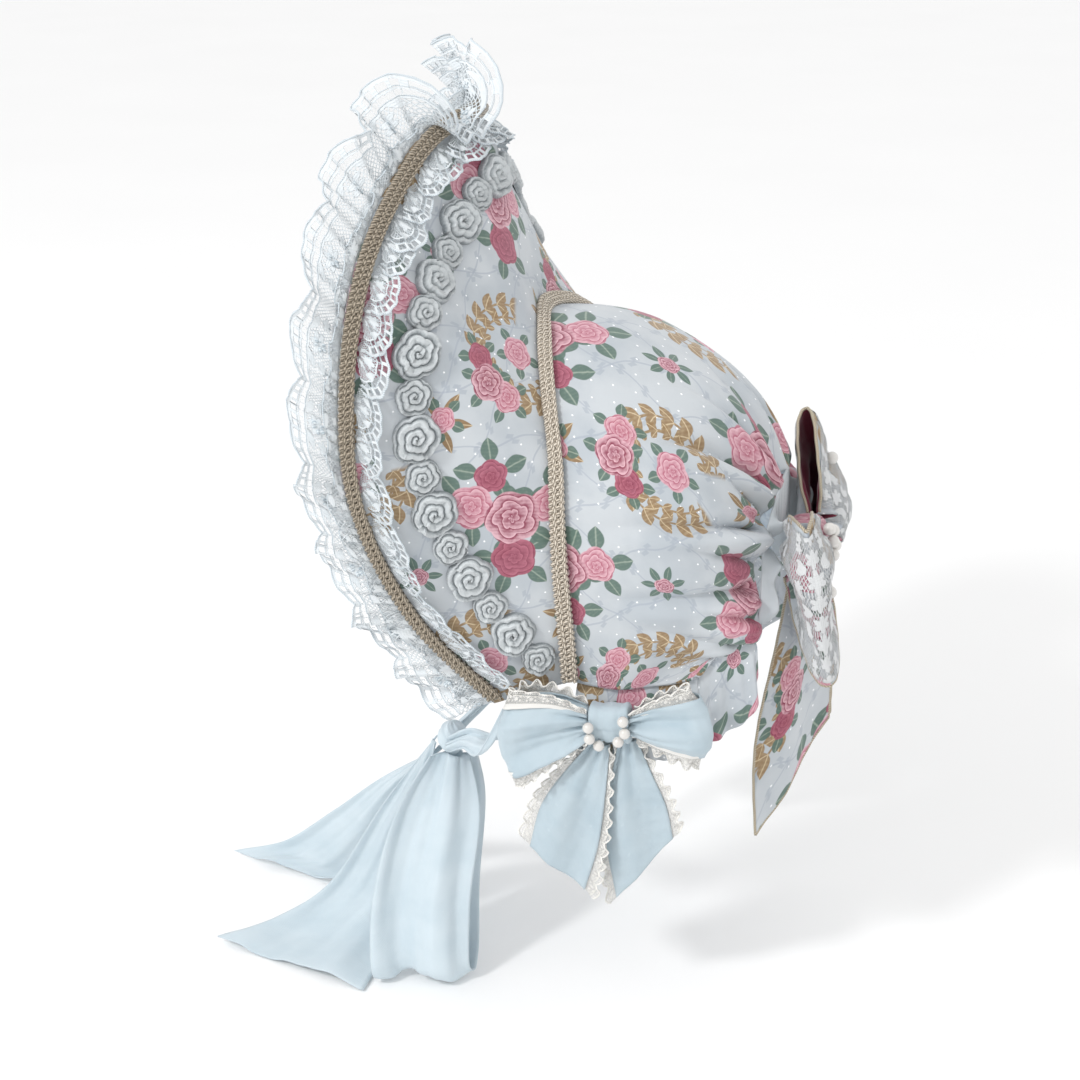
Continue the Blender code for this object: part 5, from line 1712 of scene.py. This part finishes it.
def make_chin_tails():
    for name, rows, phase in (("near", NEAR_TAIL_ROWS, 0.9), ("far", FAR_TAIL_ROWS, 2.2)):
        t, s = spread((0, 1, 101), (0, 1, 35))
        edges = through(rows, t)
        share = edges[..., :3] * (1 - s[..., None]) + edges[..., 3:] * s[..., None]
        grid = displaced(ribbon_from_knot(share), ribbon_folds(t, s * 2 - 1, phase) * (0.5 + 0.5 * t))
        ribbon_piece(f"chin_{name}_tail_ribbon", f"chin_{name}_tail", grid, CHIFFON)


def make_straps():
    brim_end = brim(1.0, np.array([0.30, 0.80]))
    t, s = spread((0, 1, 101), (-1, 1, 27))
    way, sag, bulge, half, twist = np.moveaxis(through(STRAP_ROWS, t), -1, 0)
    turn = np.radians(twist)[..., None]
    for side, label in SIDES:
        mirror = np.array([side, 1, 1])
        slack = np.stack([side * bulge, 0 * sag, -sag], -1) * CHIN_DROP
        top = brim_end.mean(0) * mirror - [0, 0, 2 * GAP]
        line = brim_end[1] - brim_end[0]
        line *= mirror / np.linalg.norm(line)
        goal = CHIN_KNOT + np.array([side * (KNOT_SIZE / 2 * KNOT_SHAPE[0] + GAP / 2), 0, 0])
        across = line * np.cos(turn) + np.array([0, 0, -1.0]) * np.sin(turn)
        grid = top + (goal - top) * way[..., None] + slack + across * (s * half * STRAP_WIDTH)[..., None]
        grid = displaced(grid, ribbon_folds(t, s, 1.4) * 0.7)
        part = f"chin_{label}_strap"
        ribbon_piece(f"{part}_ribbon", part, grid, CHIFFON)


def make_chin_knot():
    columns, rings = 72, 32
    turn, rise, ball = ball_places(columns, rings)
    slant = ball[..., 2] * 1.0 + ball[..., 1] * 0.8
    wraps = 0.93 + 0.05 * np.sin(slant * 9 + ball[..., 0] * 2.5) + 0.02 * np.sin(slant * 21 + turn * 2)
    shape = np.array(KNOT_SHAPE) * KNOT_SIZE / 2
    ends = CHIN_KNOT + np.array([[0, 0, -0.93], [0, 0, 0.93]]) * shape
    points = np.concatenate([CHIN_KNOT + (ball * wraps[..., None] * shape).reshape(-1, 3), ends])
    flats = np.stack([turn * KNOT_SIZE / 2, rise * KNOT_SIZE / 2], -1).reshape(-1, 2)
    cloth = Cloth()
    add_ball(cloth, points, np.concatenate([flats, np.zeros((2, 2))]), rings, columns)
    made = cloth.piece("chin_knot_ribbon", [CHIFFON], ["chin_knot"], "chiffon")


make_brim()
make_crown()
make_nape_frills()
make_back_frill()
make_outer_lace()
make_inner_lace()
make_edge_braid()
make_seam_braid()
make_rose_trim()
for side, label in SIDES:
    make_ear_bow(side, label)
make_back_bow()
make_chin_loop()
make_chin_tails()
make_straps()
make_chin_knot()


# Camera, floor and light
TARGET = Vector((0.0521, -0.0203, -0.1116))
BACKWARDS = Vector((0.8956, 0.2400, 0.3746)).normalized()
CAMERA_DISTANCE = 1.0
camera = bpy.data.objects.new("camera", bpy.data.cameras.new("camera"))
camera.data.lens, camera.data.sensor_width = 62.9, 36
camera.location = TARGET + BACKWARDS * CAMERA_DISTANCE
camera.rotation_euler = BACKWARDS.to_track_quat("Z", "Y").to_euler()
camera.data.clip_start, camera.data.clip_end = 0.05, 50
bpy.context.collection.objects.link(camera)
bpy.context.scene.camera = camera

FLOOR = min(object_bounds()[0][2], -TAIL_REST_DROP) - 0.0008
FLOOR_HALF = 9
corners = [(x * FLOOR_HALF, y * FLOOR_HALF, FLOOR) for x, y in ((-1, -1), (1, -1), (1, 1), (-1, 1))]
floor_mesh = bpy.data.meshes.new("floor")
floor_mesh.from_pydata(corners, [], [(0, 1, 2, 3)])
floor = bpy.data.objects.new("floor", floor_mesh)
material, tree, shader = finish_of("floor", 0.9)
colour = paint(tree, (0.92, 0.92, 0.92), (0.95, 0.95, 0.95), noise(tree, solid_place(tree), 3.0))
plug(tree, colour, shader.inputs["Base Color"])
floor_mesh.materials.append(material)
bpy.context.collection.objects.link(floor)

world = bpy.data.worlds.new("studio")
world.use_nodes = True
sky = world.node_tree.nodes["Background"].inputs
sky["Color"].default_value = (1, 1, 1, 1)
sky["Strength"].default_value = 1.0
bpy.context.scene.world = world
bpy.context.scene.view_settings.view_transform = "Standard"


def lamp(name, spot, towards, size, power):
    data = bpy.data.lights.new(name, "AREA")
    data.shape, data.size, data.energy = "DISK", size, power
    made = bpy.data.objects.new(name, data)
    made.location = spot
    made.rotation_euler = (Vector(spot) - Vector(towards)).to_track_quat("Z", "Y").to_euler()
    bpy.context.collection.objects.link(made)


lamp("key", (1.35, -1.0, 1.25), (0, 0, -0.1), 0.30, 17)
